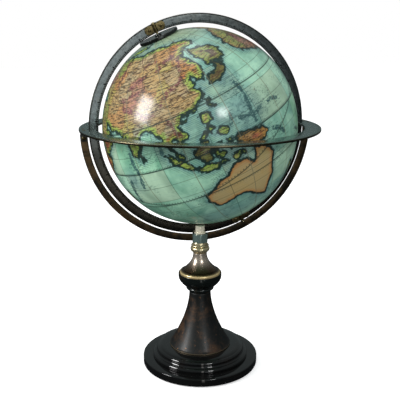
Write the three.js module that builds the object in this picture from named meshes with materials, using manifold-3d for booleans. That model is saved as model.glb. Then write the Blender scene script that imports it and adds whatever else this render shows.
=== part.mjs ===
// A table globe on a turned column, in millimetres, +Z up.
// The ball turns on two pins in a flat graduated meridian ring. The meridian ring slides round
// in a slotted post at the foot of a half-round cradle arc, and through two notches in a flat
// horizon ring that the arc carries. The column is bronze and brass on a lacquered wood plinth,
// drawn together by a rod. The origin is at the middle of the felt's underside. The rings stand
// in the XZ plane with their graduated face towards -Y, and the polar axis leans towards -X.

import * as THREE from 'three';
import { mergeVertices } from 'three/addons/utils/BufferGeometryUtils.js';
import Module from 'manifold-3d';

const wasm = await Module();
wasm.setup();

// ---- Driving dimensions ------------------------------------------------------------------

// Clearances
const SEAT = 0.3; // between two pieces that rest on or fit into each other
const RUN = 0.8; // either side of the meridian ring where it slides
const BACKLASH = 0.6; // between a turning piece and the piece that it passes
const EDGE = 0.6; // broken edge of a turned piece
const PAST = 1; // a cutter's reach past what it cuts

// Ball
const BALL_R = 160;
const SHELL_T = 3;
const BAND_T = 3; // joint band inside the equator
const BAND_W = 24;
const PLUG_R = 22; // wooden block behind each pole
const PLUG_H = 18;
const GLUE = 1.6; // filler between the shells and the pieces inside them
const AXIS_TILT = 24.8; // degrees from upright at rest

// Polar pins
const PIN_R = 2;
const PIN_HEAD_R = 3.2;
const PIN_HEAD_H = 1.5;
const PIN_SHORT = 1; // pin's inner end short of the wooden block's inner face

// Meridian ring
const MERIDIAN_GAP = 6.7; // ball to ring
const MERIDIAN_W = 15.4;
const MERIDIAN_T = 4;
const MERIDIAN_FACE_Y = 1; // the graduated face lies this far behind the polar axis

// Bearing plates over the pins
const LOBE_R = 7.2;
const LOBE_X = 10; // lobe centre to pin axis
const PLATE_T = 1.9;
const HUMP_R = 3.6; // half-round hump over the pin
const WAIST_Z = 4; // control point of the curve between the lobes
const PLATE_SCREW_R = 1.2;
const PLATE_SCREW_HEAD_R = 2.6;
const PLATE_SCREW_HEAD_H = 1.4;

// Hour cap on the north pin
const HOUR_R = 32;
const HOUR_T = 1.2;
const HOUR_SKIRT = 4.1;
const HOUR_LIP = 0.4;
const HOUR_HUB_R = 5.5;
const HOUR_HUB_H = 2.4;

// Cradle arc
const CRADLE_GAP = 2.5; // meridian ring to arc
const CRADLE_W = 11.7;
const CRADLE_T = 5;

// Horizon ring
const HORIZON_GAP = 11; // ball to ring
const HORIZON_OVERHANG = 1.2; // past the cradle arc
const HORIZON_T = 3.5;
const HORIZON_RISE = 2.4; // top face above the ball's centre
const NOTCH_END = 3.4; // notch past the meridian ring

// Feet that join the arc's ends to the horizon ring
const FOOT_T = 3.5;
const FOOT_INSET = 0.9; // foot inside the arc's width, each side
const FOOT_HALF_Y = 12;
const CHEEK_T = 2.5;
const CHEEK_H = 11;
const RIVET_R = 2;
const RIVET_HEAD_R = 3.4;
const RIVET_HEAD_H = 1.3;
const FOOT_SCREW_R = 1.6;
const FOOT_SCREW_HEAD_R = 3.2;
const FOOT_SCREW_HEAD_H = 1.8;
const FOOT_SCREW_Y = 8.3; // screw to the middle of the arc

// Column, from the felt up
const FELT_T = 1.5;
const FELT_INSET = 6;
const PLINTH_R = 101.2;
const PLINTH_H = 32.9;
const PLINTH_RIM_H = 13.5;
const PLINTH_EDGE = 1.6; // rounding of the rim's edges
const PLINTH_BEAD_R = 84; // outside of the lower bead
const PLINTH_BEAD = 4.4; // radius of the lower bead's round
const PLINTH_BEAD_RISE = 3.3; // lower bead's middle above the rim
const PLINTH_STEP_R = 77.4; // outside of the upper bead
const PLINTH_STEP = 3.8; // radius of the upper bead's round
const PLINTH_STEP_RISE = 10.3; // upper bead's middle above the lower bead's
const PLINTH_SEAT_W = 1; // flat round the pedestal's foot
const RECESS_R = 16;
const RECESS_H = 14;
const PEDESTAL_FOOT_R = 53.5;
const PEDESTAL_NECK_R = 18.8;
const PEDESTAL_H = 98;
const PEDESTAL_FLARE = 1.75; // power of the flare
const PEDESTAL_EDGE = 2;
const WALL_T = 2; // spun bronze
const CAP_T = 4; // top plate of a spun piece
const BOWL_R = 37.6;
const BOWL_H = 34;
const BOWL_LIP = 1.8;
const BOWL_LIP_H = 5.4; // upright part of the bowl's side
const BOWL_WAIST_R = 22.6; // bowl's side where it meets the torus
const BOWL_TORUS_R = 24.2;
const BOWL_TORUS = 2.8; // radius of the torus round
const BOWL_TORUS_RISE = 6.7; // torus's middle above the bowl's foot
const BOWL_TORUS_NECK = 2; // torus's middle to the bowl's side
const BOWL_LEDGE = 2; // seat of the upper trumpet below the lip
const BOWL_LEDGE_W = 4;
const UPPER_RIM = 2.6; // radius of the brass rim's round
const UPPER_NECK_R = 11.9;
const UPPER_H = 38.1;
const UPPER_FLARE = 2.2;
const COLLAR_H = 19.2;
const COLLAR_NECK_R = 12.3;
const COLLAR_BEAD_R = 16.7;
const COLLAR_BEAD = 5; // half the bead's height
const COLLAR_BEAD_RISE = 7.1; // bead's middle above the collar's foot
const COLLAR_RING_R = 15.4;
const COLLAR_RING = 1.35; // half the ring's height
const COLLAR_TOP_R = 12.8;
const SOCKET_R = 13.2;
const SOCKET_ABOVE_ARC = 1.7; // sleeve above the arc's inner edge at the middle
const SOCKET_FLOOR = 1.2;
const POST_R = 8;
const POST_DROP = 11.5; // post below the arc, in the collar
const POST_TOP_GAP = 2; // post top below the meridian ring's inner edge
const POST_FLANGE_R = 10;
const POST_FLANGE_H = 2;
const ROD_R = 4;
const ROD_END_GAP = 1.2;
const WASHER_R = 12;
const WASHER_T = 2;
const NUT_FLATS = 13;
const NUT_H = 6.5;
const ROD_TAIL = 1.4; // rod past the nut
const SET_SCREW_R = 2.5;

// Fineness
const TURN = 24; // facets round a turned piece
const RING = 64; // facets round a ring
const SMALL = 10; // facets round a screw or pin
const CURVE = 5; // facets along a curved stretch of a profile
const BALL_ARC = 12; // facets from the equator to a pole
const WELD = 1e-4;

// ---- Places worked out from the dimensions -------------------------------------------------

const meridianIn = BALL_R + MERIDIAN_GAP;
const meridianOut = meridianIn + MERIDIAN_W;
const meridianMid = (meridianIn + meridianOut) / 2;
const meridianBackY = MERIDIAN_FACE_Y + MERIDIAN_T;
const ringMidY = MERIDIAN_FACE_Y + MERIDIAN_T / 2;
const cradleIn = meridianOut + CRADLE_GAP;
const cradleOut = cradleIn + CRADLE_W;
const cradleMid = (cradleIn + cradleOut) / 2;
const horizonIn = BALL_R + HORIZON_GAP;
const horizonOut = cradleOut + HORIZON_OVERHANG;
const slotW = Math.max(MERIDIAN_T + 2 * RUN, CRADLE_T + 2 * SEAT);

const plinthZ = FELT_T + SEAT;
const pedestalZ = plinthZ + PLINTH_H + SEAT;
const bowlZ = pedestalZ + PEDESTAL_H + SEAT;
const upperZ = bowlZ + BOWL_H - BOWL_LEDGE + SEAT;
const collarZ = upperZ + UPPER_H + SEAT;
const socketZ = collarZ + COLLAR_H + SEAT;
const slotFloorZ = socketZ + SOCKET_FLOOR;
const ballZ = slotFloorZ + SEAT + cradleOut;
const socketTopZ = ballZ - cradleIn + SOCKET_ABOVE_ARC;
const postBottomZ = slotFloorZ - POST_DROP;
const recessTopZ = plinthZ + RECESS_H;
const washerZ = recessTopZ - SEAT - WASHER_T;
const nutZ = washerZ - SEAT - NUT_H;
const rodBottomZ = nutZ - ROD_TAIL;
const rodTopZ = slotFloorZ - 2 * ROD_END_GAP;
const boreR = ROD_R + SEAT;
const postBoreR = POST_R + SEAT;

// ---- Materials and solids --------------------------------------------------------------------

const FINISHES = {
  felt: { color: 0x1d3a2a, roughness: 0.95, metalness: 0 },
  lacquer: { color: 0x0c0e0e, roughness: 0.12, metalness: 0 },
  steel: { color: 0x8d8f90, roughness: 0.4, metalness: 1 },
  mottledBronze: { color: 0x2a1f16, roughness: 0.3, metalness: 0.7 },
  blackBronze: { color: 0x0f1312, roughness: 0.18, metalness: 0.6 },
  brownBronze: { color: 0x6b543b, roughness: 0.25, metalness: 1 },
  darkBronze: { color: 0x35312a, roughness: 0.35, metalness: 0.9 },
  brass: { color: 0xc9b37a, roughness: 0.18, metalness: 1 },
  oldBrass: { color: 0x6d5a33, roughness: 0.35, metalness: 1 },
  map: { color: 0x8fb59a, roughness: 0.35, metalness: 0 },
  board: { color: 0xb9a988, roughness: 0.9, metalness: 0 },
  wood: { color: 0x9a7648, roughness: 0.8, metalness: 0 },
};

// A closed geometry as a solid: its corners are welded, slivers at the axis are dropped and,
// where the outline ran the other way, its faces are turned out.
function solid(geometry) {
  const bare = new THREE.BufferGeometry();
  bare.setAttribute('position', geometry.getAttribute('position'));
  if (geometry.index) bare.setIndex(geometry.index);
  const welded = mergeVertices(bare, WELD);
  const corners = welded.getAttribute('position');
  const faces = [];
  for (let i = 0; i < welded.index.count; i += 3) {
    const [a, b, c] = [0, 1, 2].map((k) => welded.index.getX(i + k));
    if (a !== b && b !== c && c !== a) faces.push([a, b, c]);
  }
  const [p, q, r] = [new THREE.Vector3(), new THREE.Vector3(), new THREE.Vector3()];
  const volume = faces.reduce((sum, [a, b, c]) => {
    p.fromBufferAttribute(corners, a);
    q.fromBufferAttribute(corners, b);
    r.fromBufferAttribute(corners, c);
    return sum + p.dot(q.cross(r)) / 6;
  }, 0);
  const outward = volume < 0 ? faces.map(([a, b, c]) => [a, c, b]) : faces;
  return new wasm.Manifold(new wasm.Mesh({
    numProp: 3,
    vertProperties: Float32Array.from(corners.array),
    triVerts: Uint32Array.from(outward.flat()),
  }));
}

// The geometry of a solid, for a mesh.
function skin(body) {
  const mesh = body.getMesh();
  const geometry = new THREE.BufferGeometry();
  geometry.setAttribute('position', new THREE.BufferAttribute(mesh.vertProperties, 3));
  geometry.setIndex(new THREE.BufferAttribute(mesh.triVerts, 1));
  geometry.computeVertexNormals();
  return geometry;
}

function cut(body, ...tools) {
  return tools.reduce((rest, tool) => rest.subtract(tool), body);
}

// An outline of radius and height, turned round the Z axis.
function turned(outline, facets = TURN) {
  return solid(new THREE.LatheGeometry(outline, facets).rotateX(Math.PI / 2));
}

// A plain rod along Z from one height to another.
function rod(radius, from, to, facets = SMALL) {
  const geometry = new THREE.CylinderGeometry(radius, radius, to - from, facets);
  return solid(geometry.rotateX(Math.PI / 2).translate(0, 0, (from + to) / 2));
}

// The same along Y, at x and z.
function crossRod(radius, from, to, x, z, facets = SMALL) {
  const geometry = new THREE.CylinderGeometry(radius, radius, to - from, facets);
  return solid(geometry.translate(x, (from + to) / 2, z));
}

function block([x0, x1], [y0, y1], [z0, z1]) {
  const geometry = new THREE.BoxGeometry(x1 - x0, y1 - y0, z1 - z0);
  return solid(geometry.translate((x0 + x1) / 2, (y0 + y1) / 2, (z0 + z1) / 2));
}

// A flat shape drawn in X and Z, given its thickness between two values of Y.
function upright(shape, y0, y1, curveSegments) {
  const options = { depth: y1 - y0, bevelEnabled: false, curveSegments };
  return solid(new THREE.ExtrudeGeometry(shape, options).rotateX(Math.PI / 2).translate(0, y1, 0));
}

function annulus(inner, outer) {
  const shape = new THREE.Shape();
  shape.absarc(0, 0, outer, 0, 2 * Math.PI);
  const hole = new THREE.Path();
  hole.absarc(0, 0, inner, 0, 2 * Math.PI);
  shape.holes.push(hole);
  return shape;
}

const points = (...pairs) => pairs.map(([x, y]) => new THREE.Vector2(x, y));

// Points on a round of the profile, from one angle to another in degrees.
function round(x, y, radius, from, to, count = CURVE) {
  return Array.from({ length: count + 1 }, (_, i) => {
    const angle = THREE.MathUtils.degToRad(from + ((to - from) * i) / count);
    return new THREE.Vector2(x + radius * Math.cos(angle), y + radius * Math.sin(angle));
  });
}

// A domed head, from its rim at a height to its crown on the axis.
function dome(radius, from, rise) {
  return round(0, 0, 1, 0, 90, 3).map((point) => (
    new THREE.Vector2(radius * point.x, from + rise * point.y)));
}

// A trumpet's side from its foot to its neck: the radius falls as a power of the height left.
function flare(footR, neckR, footZ, neckZ, power, count = 2 * CURVE) {
  return Array.from({ length: count + 1 }, (_, i) => {
    const left = 1 - i / count;
    return new THREE.Vector2(neckR + (footR - neckR) * left ** power, neckZ - (neckZ - footZ) * left);
  });
}

const globe = new THREE.Group();
const polar = new THREE.Group(); // +Z here is the polar axis, from the ball's centre
polar.position.z = ballZ;
polar.rotation.y = THREE.MathUtils.degToRad(-AXIS_TILT);
globe.add(polar);

function piece(name, body, finish, parent = globe) {
  const mesh = new THREE.Mesh(skin(body), new THREE.MeshStandardMaterial(FINISHES[finish]));
  mesh.name = name;
  parent.add(mesh);
  return mesh;
}

// ---- Plinth and the rod that draws the column together --------------------------------------

function feltPad() {
  const r = PLINTH_R - FELT_INSET;
  return turned(points([0, 0], [r, 0], [r, FELT_T], [0, FELT_T]));
}

// Rim, two beads one above the other, and a cove up to the seat of the pedestal.
function basePlinth() {
  const top = plinthZ + PLINTH_H;
  const rimTop = plinthZ + PLINTH_RIM_H;
  const beadX = PLINTH_BEAD_R - PLINTH_BEAD;
  const beadY = rimTop + PLINTH_BEAD_RISE;
  const stepX = PLINTH_STEP_R - PLINTH_STEP;
  const stepY = beadY + PLINTH_STEP_RISE;
  return turned([
    ...points([boreR, recessTopZ], [RECESS_R, recessTopZ], [RECESS_R, plinthZ]),
    ...round(PLINTH_R - PLINTH_EDGE, plinthZ + PLINTH_EDGE, PLINTH_EDGE, -90, 0, 3),
    ...round(PLINTH_R - PLINTH_EDGE, rimTop - PLINTH_EDGE, PLINTH_EDGE, 0, 90, 3),
    ...round(beadX, beadY, PLINTH_BEAD, -40, 95),
    ...round(stepX, stepY, PLINTH_STEP, -35, 100),
    ...points([PEDESTAL_FOOT_R + PLINTH_SEAT_W, top]),
    ...points([boreR, top], [boreR, recessTopZ]),
  ]);
}

function tieRodNut() {
  const cornerR = NUT_FLATS / 2 / Math.cos(Math.PI / 6);
  return cut(rod(cornerR, nutZ, nutZ + NUT_H, 6), rod(boreR, nutZ - PAST, nutZ + NUT_H + PAST));
}

function tieRodWasher() {
  const body = rod(WASHER_R, washerZ, washerZ + WASHER_T, TURN / 2);
  return cut(body, rod(boreR, washerZ - PAST, washerZ + WASHER_T + PAST));
}

piece('felt_pad', feltPad(), 'felt');
piece('base_plinth', basePlinth(), 'lacquer');
piece('tie_rod', rod(ROD_R, rodBottomZ, rodTopZ), 'steel');
piece('tie_rod_washer', tieRodWasher(), 'steel');
piece('tie_rod_nut', tieRodNut(), 'steel');

// ---- Column ----------------------------------------------------------------------------------

// A spun trumpet: open at its foot, with a plate at its neck that the rod passes through.
function trumpet(edge, footR, neckR, edgeTopZ, neckZ, power) {
  const outside = flare(footR, neckR, edgeTopZ, neckZ, power);
  const inside = flare(footR - WALL_T, neckR - WALL_T, edgeTopZ, neckZ, power);
  const belowPlate = inside.filter((point) => point.y < neckZ - CAP_T - WALL_T / 2).reverse();
  return turned([
    ...edge,
    ...outside,
    ...points([boreR, neckZ], [boreR, neckZ - CAP_T], [neckR - WALL_T, neckZ - CAP_T]),
    ...belowPlate,
    ...points([edge[0].x - WALL_T, edge[0].y], [edge[0].x, edge[0].y]),
  ]);
}

function pedestalTrumpet() {
  const edge = points([PEDESTAL_FOOT_R, pedestalZ]);
  const edgeTop = pedestalZ + PEDESTAL_EDGE;
  return trumpet(edge, PEDESTAL_FOOT_R, PEDESTAL_NECK_R, edgeTop, pedestalZ + PEDESTAL_H, PEDESTAL_FLARE);
}

const upperRimR = BOWL_R - BOWL_LIP - 2 * SEAT;

function upperTrumpet() {
  const rimZ = upperZ + BOWL_LEDGE + UPPER_RIM / 2;
  const rimX = upperRimR - UPPER_RIM;
  const edge = [...points([upperRimR, upperZ]), ...round(rimX, rimZ, UPPER_RIM, 0, 80, 5)];
  const neckZ = upperZ + UPPER_H;
  return trumpet(edge, rimX, UPPER_NECK_R, rimZ + UPPER_RIM, neckZ, UPPER_FLARE);
}

// A bowl with a torus bead under it, open at the top, with a ledge inside the lip.
function knopBowl() {
  const top = bowlZ + BOWL_H;
  const torusZ = bowlZ + BOWL_TORUS_RISE;
  const sideZ = top - BOWL_LIP_H;
  const waistZ = torusZ + BOWL_TORUS_NECK;
  const side = Array.from({ length: CURVE + 1 }, (_, i) => {
    const left = 1 - i / CURVE;
    return new THREE.Vector2(BOWL_R - (BOWL_R - BOWL_WAIST_R) * left ** 2, sideZ - (sideZ - waistZ) * left);
  });
  const lipIn = BOWL_R - BOWL_LIP;
  const ledgeZ = top - BOWL_LEDGE;
  const floorZ = torusZ + BOWL_TORUS + WALL_T;
  return turned([
    ...points([boreR, bowlZ], [PEDESTAL_NECK_R, bowlZ]),
    ...round(BOWL_TORUS_R - BOWL_TORUS, torusZ, BOWL_TORUS, -60, 45),
    ...side,
    ...points([BOWL_R, top - EDGE], [BOWL_R - EDGE, top], [lipIn, top], [lipIn, ledgeZ]),
    ...points([lipIn - BOWL_LEDGE_W, ledgeZ], [BOWL_WAIST_R - WALL_T, floorZ]),
    ...points([boreR, floorZ], [boreR, bowlZ]),
  ]);
}

// Bottom to top: a neck, a full bead, a small ring and a plain top. The post stands in its bore.
function neckCollar() {
  const top = collarZ + COLLAR_H;
  const beadZ = collarZ + COLLAR_BEAD_RISE;
  const bead = round(0, 0, 1, -80, 75).map((point) => new THREE.Vector2(
    COLLAR_NECK_R + (COLLAR_BEAD_R - COLLAR_NECK_R) * point.x,
    beadZ + COLLAR_BEAD * point.y,
  ));
  const ringZ = beadZ + COLLAR_BEAD + COLLAR_RING;
  const shelfZ = postBottomZ - SEAT;
  return turned([
    ...points([boreR, collarZ], [COLLAR_NECK_R, collarZ]),
    ...bead,
    ...round(COLLAR_RING_R - COLLAR_RING, ringZ, COLLAR_RING, -40, 50, 4),
    ...points([COLLAR_TOP_R, ringZ + 2 * COLLAR_RING], [COLLAR_TOP_R, top]),
    ...points([postBoreR, top], [postBoreR, shelfZ], [boreR, shelfZ], [boreR, collarZ]),
  ]);
}

const slotSpan = [ringMidY - slotW / 2, ringMidY + slotW / 2];
const wide = 2 * SOCKET_R;
const setScrewZ = (slotFloorZ + socketTopZ) / 2;

// A sleeve round the post. The arc passes through it in the slot.
function arcSocket() {
  const body = turned([
    ...points([postBoreR, socketZ], [SOCKET_R - EDGE, socketZ], [SOCKET_R, socketZ + EDGE]),
    ...points([SOCKET_R, socketTopZ - EDGE], [SOCKET_R - EDGE, socketTopZ]),
    ...points([postBoreR, socketTopZ], [postBoreR, socketZ]),
  ]);
  const slot = block([-wide, wide], slotSpan, [slotFloorZ, socketTopZ + PAST]);
  return cut(body, slot, crossRod(SET_SCREW_R + SEAT, ringMidY, wide, 0, setScrewZ));
}

// A round post, slotted from the top: the arc lies in the slot and the meridian ring runs
// above it. A flange rests on the sleeve.
function meridianPost() {
  const flangeZ = socketTopZ + SEAT;
  const top = ballZ - meridianIn - POST_TOP_GAP;
  const boreTop = rodTopZ + ROD_END_GAP;
  const body = turned([
    ...points([boreR, postBottomZ], [POST_R, postBottomZ], [POST_R, flangeZ]),
    ...points([POST_FLANGE_R, flangeZ], [POST_FLANGE_R, flangeZ + POST_FLANGE_H]),
    ...points([POST_R, flangeZ + POST_FLANGE_H], [POST_R, top - EDGE], [POST_R - EDGE, top]),
    ...points([0, top], [0, boreTop], [boreR, boreTop], [boreR, postBottomZ]),
  ], TURN / 2);
  const slot = block([-wide, wide], slotSpan, [slotFloorZ, top + PAST]);
  return cut(body, slot, crossRod(SET_SCREW_R + SEAT, ringMidY, wide, 0, setScrewZ));
}

piece('pedestal_trumpet', pedestalTrumpet(), 'mottledBronze');
piece('knop_bowl', knopBowl(), 'blackBronze');
piece('upper_trumpet', upperTrumpet(), 'brownBronze');
piece('neck_collar', neckCollar(), 'brass');
piece('arc_socket', arcSocket(), 'blackBronze');
piece('meridian_post', meridianPost(), 'brass');
const setScrewFrom = ringMidY + CRADLE_T / 2 + SEAT;
piece('arc_set_screw', crossRod(SET_SCREW_R, setScrewFrom, SOCKET_R - SEAT, 0, setScrewZ), 'steel');

// ---- Cradle arc, its feet and the horizon ring ------------------------------------------------

const horizonTopZ = ballZ + HORIZON_RISE;
const footTopZ = horizonTopZ - HORIZON_T - SEAT;
const arcEndZ = footTopZ - FOOT_T - SEAT;
const rivetZ = arcEndZ - CHEEK_H / 2;
const rivetHole = (side) => crossRod(RIVET_R + SEAT, -wide, wide, side * cradleMid, rivetZ);
const SIDES = { left: -1, right: 1 };

// The lower half of a flat ring, drawn round the ball's centre, its ends cut level.
function cradleArc() {
  const drop = ballZ - arcEndZ;
  const outerEnd = Math.asin(drop / cradleOut);
  const innerEnd = Math.asin(drop / cradleIn);
  const shape = new THREE.Shape();
  shape.absarc(0, 0, cradleOut, Math.PI + outerEnd, 2 * Math.PI - outerEnd);
  shape.absarc(0, 0, cradleIn, 2 * Math.PI - innerEnd, Math.PI + innerEnd, true);
  const flat = upright(shape, ringMidY - CRADLE_T / 2, ringMidY + CRADLE_T / 2, RING / 2);
  return cut(flat.translate(0, 0, ballZ), rivetHole(SIDES.left), rivetHole(SIDES.right));
}

// The places of the two screws of a foot.
const footScrews = (side) => [-1, 1].map((end) => [side * cradleMid, ringMidY + end * FOOT_SCREW_Y]);

// A plate under the horizon ring with two cheeks that straddle the arc's end.
function horizonFoot(side) {
  const halfX = CRADLE_W / 2 - FOOT_INSET;
  const x = [side * cradleMid - halfX, side * cradleMid + halfX];
  const plate = block(x, [ringMidY - FOOT_HALF_Y, ringMidY + FOOT_HALF_Y], [footTopZ - FOOT_T, footTopZ]);
  const cheekIn = CRADLE_T / 2 + SEAT;
  const cheekZ = [footTopZ - FOOT_T - CHEEK_H, footTopZ - FOOT_T / 2];
  const front = block(x, [ringMidY - cheekIn - CHEEK_T, ringMidY - cheekIn], cheekZ);
  const back = block(x, [ringMidY + cheekIn, ringMidY + cheekIn + CHEEK_T], cheekZ);
  const holes = footScrews(side).map(([sx, sy]) => (
    rod(FOOT_SCREW_R + SEAT, footTopZ - FOOT_T - PAST, footTopZ + PAST).translate(sx, sy, 0)));
  return cut(plate.add(front).add(back), rivetHole(side), ...holes);
}

// A countersunk screw, its head up. The same outline a seat's gap larger is the hole for it.
function countersunk(topZ, length, extra, over = 0) {
  const headR = FOOT_SCREW_HEAD_R + extra;
  const shankR = FOOT_SCREW_R + extra;
  const neckZ = topZ - FOOT_SCREW_HEAD_H;
  const lid = over > 0 ? points([headR, topZ + over], [0, topZ + over]) : points([0, topZ]);
  return turned([
    ...points([0, topZ - length - over], [shankR, topZ - length - over], [shankR, neckZ]),
    ...points([headR, topZ]),
    ...lid,
  ], SMALL);
}

function horizonRing() {
  const options = { depth: HORIZON_T, bevelEnabled: false, curveSegments: RING };
  const geometry = new THREE.ExtrudeGeometry(annulus(horizonIn, horizonOut), options);
  const flat = solid(geometry.translate(0, 0, horizonTopZ - HORIZON_T));
  const notchY = [MERIDIAN_FACE_Y - RUN, meridianBackY + RUN];
  const notchZ = [horizonTopZ - HORIZON_T - PAST, horizonTopZ + PAST];
  const cuts = Object.values(SIDES).flatMap((side) => {
    const ends = [side * (horizonIn - PAST), side * (meridianOut + NOTCH_END)].sort((a, b) => a - b);
    const holes = footScrews(side).map(([sx, sy]) => (
      countersunk(horizonTopZ, HORIZON_T, SEAT, PAST).translate(sx, sy, 0)));
    return [block(ends, notchY, notchZ), ...holes];
  });
  return cut(flat, ...cuts);
}

function rivet(side) {
  const half = CRADLE_T / 2 + SEAT + CHEEK_T + SEAT;
  const body = turned([
    ...dome(RIVET_HEAD_R, -half, -RIVET_HEAD_H).reverse(),
    ...points([RIVET_R, -half], [RIVET_R, half]),
    ...dome(RIVET_HEAD_R, half, RIVET_HEAD_H),
  ], SMALL);
  return body.rotate([90, 0, 0]).translate(side * cradleMid, ringMidY, rivetZ);
}

piece('cradle_arc', cradleArc(), 'brownBronze');
piece('horizon_ring', horizonRing(), 'darkBronze');
for (const [name, side] of Object.entries(SIDES)) {
  piece(`horizon_foot_${name}`, horizonFoot(side), 'darkBronze');
  piece(`foot_rivet_${name}`, rivet(side), 'oldBrass');
  footScrews(side).forEach(([sx, sy], i) => {
    const screw = countersunk(horizonTopZ, HORIZON_T + FOOT_T, 0).translate(sx, sy, 0);
    piece(`horizon_screw_${name}_${i + 1}`, screw, 'oldBrass');
  });
}

// ---- Meridian ring and the bearings of the pins ------------------------------------------------

const POLES = { north: 0, south: 180 }; // turned about Y, in degrees
const plateBackY = MERIDIAN_FACE_Y - SEAT;
const plateFrontY = plateBackY - PLATE_T;
const pinHeadFrom = meridianOut + SEAT;
const pinBore = () => rod(PIN_R + SEAT, BALL_R, meridianOut + CRADLE_GAP);
const plateScrewHole = (x) => (
  crossRod(PLATE_SCREW_R + SEAT, -HUMP_R, meridianBackY + PAST, x, meridianMid));

// Cutters made on the polar axis, taken to where the ring stands at rest.
function atPole(tool, pole) {
  return tool.rotate([0, pole - AXIS_TILT, 0]).translate(0, 0, ballZ);
}

function meridianRing() {
  const flat = upright(annulus(meridianIn, meridianOut), MERIDIAN_FACE_Y, meridianBackY, RING);
  const cuts = Object.values(POLES).flatMap((pole) => (
    [pinBore(), plateScrewHole(-LOBE_X), plateScrewHole(LOBE_X)].map((tool) => atPole(tool, pole))));
  return cut(flat.translate(0, 0, ballZ), ...cuts);
}

// Two round lobes with a waist between them, and a half-round hump over the pin.
function bearingPlate() {
  const shape = new THREE.Shape();
  shape.absarc(LOBE_X, 0, LOBE_R, -Math.PI / 2, Math.PI / 2);
  shape.quadraticCurveTo(0, WAIST_Z, -LOBE_X, LOBE_R);
  shape.absarc(-LOBE_X, 0, LOBE_R, Math.PI / 2, 1.5 * Math.PI);
  shape.quadraticCurveTo(0, -WAIST_Z, LOBE_X, -LOBE_R);
  const lobes = upright(shape, plateFrontY, plateBackY, CURVE).translate(0, 0, meridianMid);
  const hump = rod(HUMP_R, meridianIn + SEAT, meridianOut - SEAT, TURN / 2);
  const behind = block([-wide, wide], [plateBackY, wide], [meridianIn - PAST, meridianOut + PAST]);
  const holes = [plateScrewHole(-LOBE_X), plateScrewHole(LOBE_X)];
  return cut(lobes.add(hump), behind, pinBore(), ...holes);
}

function plateScrew(x) {
  const headFrom = plateFrontY - SEAT - PLATE_SCREW_HEAD_H;
  const headTo = plateFrontY - SEAT;
  const head = crossRod(PLATE_SCREW_HEAD_R, headFrom, headTo, x, meridianMid);
  return head.add(crossRod(PLATE_SCREW_R, headTo - SEAT, meridianBackY - SEAT, x, meridianMid));
}

piece('meridian_ring', meridianRing(), 'darkBronze');
for (const [name, pole] of Object.entries(POLES)) {
  const end = new THREE.Group();
  end.rotation.y = THREE.MathUtils.degToRad(pole);
  polar.add(end);
  piece(`${name}_bearing`, bearingPlate(), 'oldBrass', end);
  piece(`${name}_bearing_screw_1`, plateScrew(-LOBE_X), 'oldBrass', end);
  piece(`${name}_bearing_screw_2`, plateScrew(LOBE_X), 'oldBrass', end);
}

// ---- Ball ----------------------------------------------------------------------------------------

const shellIn = BALL_R - SHELL_T;
const pinHoleR = PIN_R + SEAT;

// Half of the ball as an open shell, pierced at the pole for the pin.
function hemisphere() {
  const edge = THREE.MathUtils.radToDeg(SEAT / 2 / BALL_R);
  const pole = (radius) => 90 - THREE.MathUtils.radToDeg(pinHoleR / radius);
  const outside = round(0, 0, BALL_R, edge, pole(BALL_R), BALL_ARC);
  const inside = round(0, 0, shellIn, pole(shellIn), edge, BALL_ARC);
  return turned([...outside, ...inside, outside[0]]);
}

function jointBand() {
  const out = shellIn - GLUE;
  const half = BAND_W / 2;
  const into = out - BAND_T;
  return turned(points([out, -half], [out, half], [into, half], [into, -half], [out, -half]));
}

// A block whose outer end follows the inside of the shell.
function polePlug() {
  const crownR = shellIn - GLUE;
  const from = THREE.MathUtils.radToDeg(Math.acos(PLUG_R / crownR));
  const to = 90 - THREE.MathUtils.radToDeg(pinHoleR / crownR);
  const crown = round(0, 0, crownR, from, to, 3);
  const base = crownR - PLUG_H;
  const outline = [...points([pinHoleR, base], [PLUG_R, base]), ...crown, ...points([pinHoleR, base])];
  return turned(outline, TURN / 2);
}

function pivotPin() {
  const inner = shellIn - GLUE - PLUG_H + PIN_SHORT;
  return turned([
    ...points([0, inner], [PIN_R, inner], [PIN_R, pinHeadFrom]),
    ...dome(PIN_HEAD_R, pinHeadFrom, PIN_HEAD_H),
  ], SMALL);
}

for (const [name, pole] of Object.entries(POLES)) {
  const half = new THREE.Group();
  half.rotation.y = THREE.MathUtils.degToRad(pole);
  polar.add(half);
  piece(`${name}_hemisphere`, hemisphere(), 'map', half);
  piece(`${name}_pole_plug`, polePlug(), 'wood', half);
  piece(`${name}_pivot_pin`, pivotPin(), 'brass', half);
}
piece('equator_joint_band', jointBand(), 'board', polar);

// ---- Hour cap ------------------------------------------------------------------------------------

// The cap's top face stays inside the meridian ring at the cap's edge.
const hourEdge = Math.sqrt((meridianIn - BACKLASH - SEAT) ** 2 - HOUR_R ** 2);
const hourTop = hourEdge - HOUR_LIP;

function hourCap() {
  const inner = HOUR_R - HOUR_T;
  return turned([
    ...points([pinHoleR, hourTop - HOUR_T], [inner, hourTop - HOUR_T], [inner, hourEdge - HOUR_SKIRT]),
    ...points([HOUR_R, hourEdge - HOUR_SKIRT], [HOUR_R, hourEdge], [inner, hourEdge]),
    ...points([inner - HOUR_LIP, hourTop], [pinHoleR, hourTop], [pinHoleR, hourTop - HOUR_T]),
  ]);
}

function hourHub() {
  const from = hourTop + SEAT;
  const to = from + HOUR_HUB_H;
  return turned([
    ...points([pinHoleR, from], [HOUR_HUB_R, from], [HOUR_HUB_R, to - EDGE]),
    ...points([HOUR_HUB_R - EDGE, to], [pinHoleR, to], [pinHoleR, from]),
  ], SMALL);
}

piece('hour_cap', hourCap(), 'blackBronze', polar);
piece('hour_cap_hub', hourHub(), 'brass', polar);

export default globe;
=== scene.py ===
"""Looks of a table globe on a turned column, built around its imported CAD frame.

Sizes are in metres. Every shape is a function of two parameters on a grid: a profile turned round
an axis, a section carried along part of a circle, or a ball with its map stored at its points.
"""

import math

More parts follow.
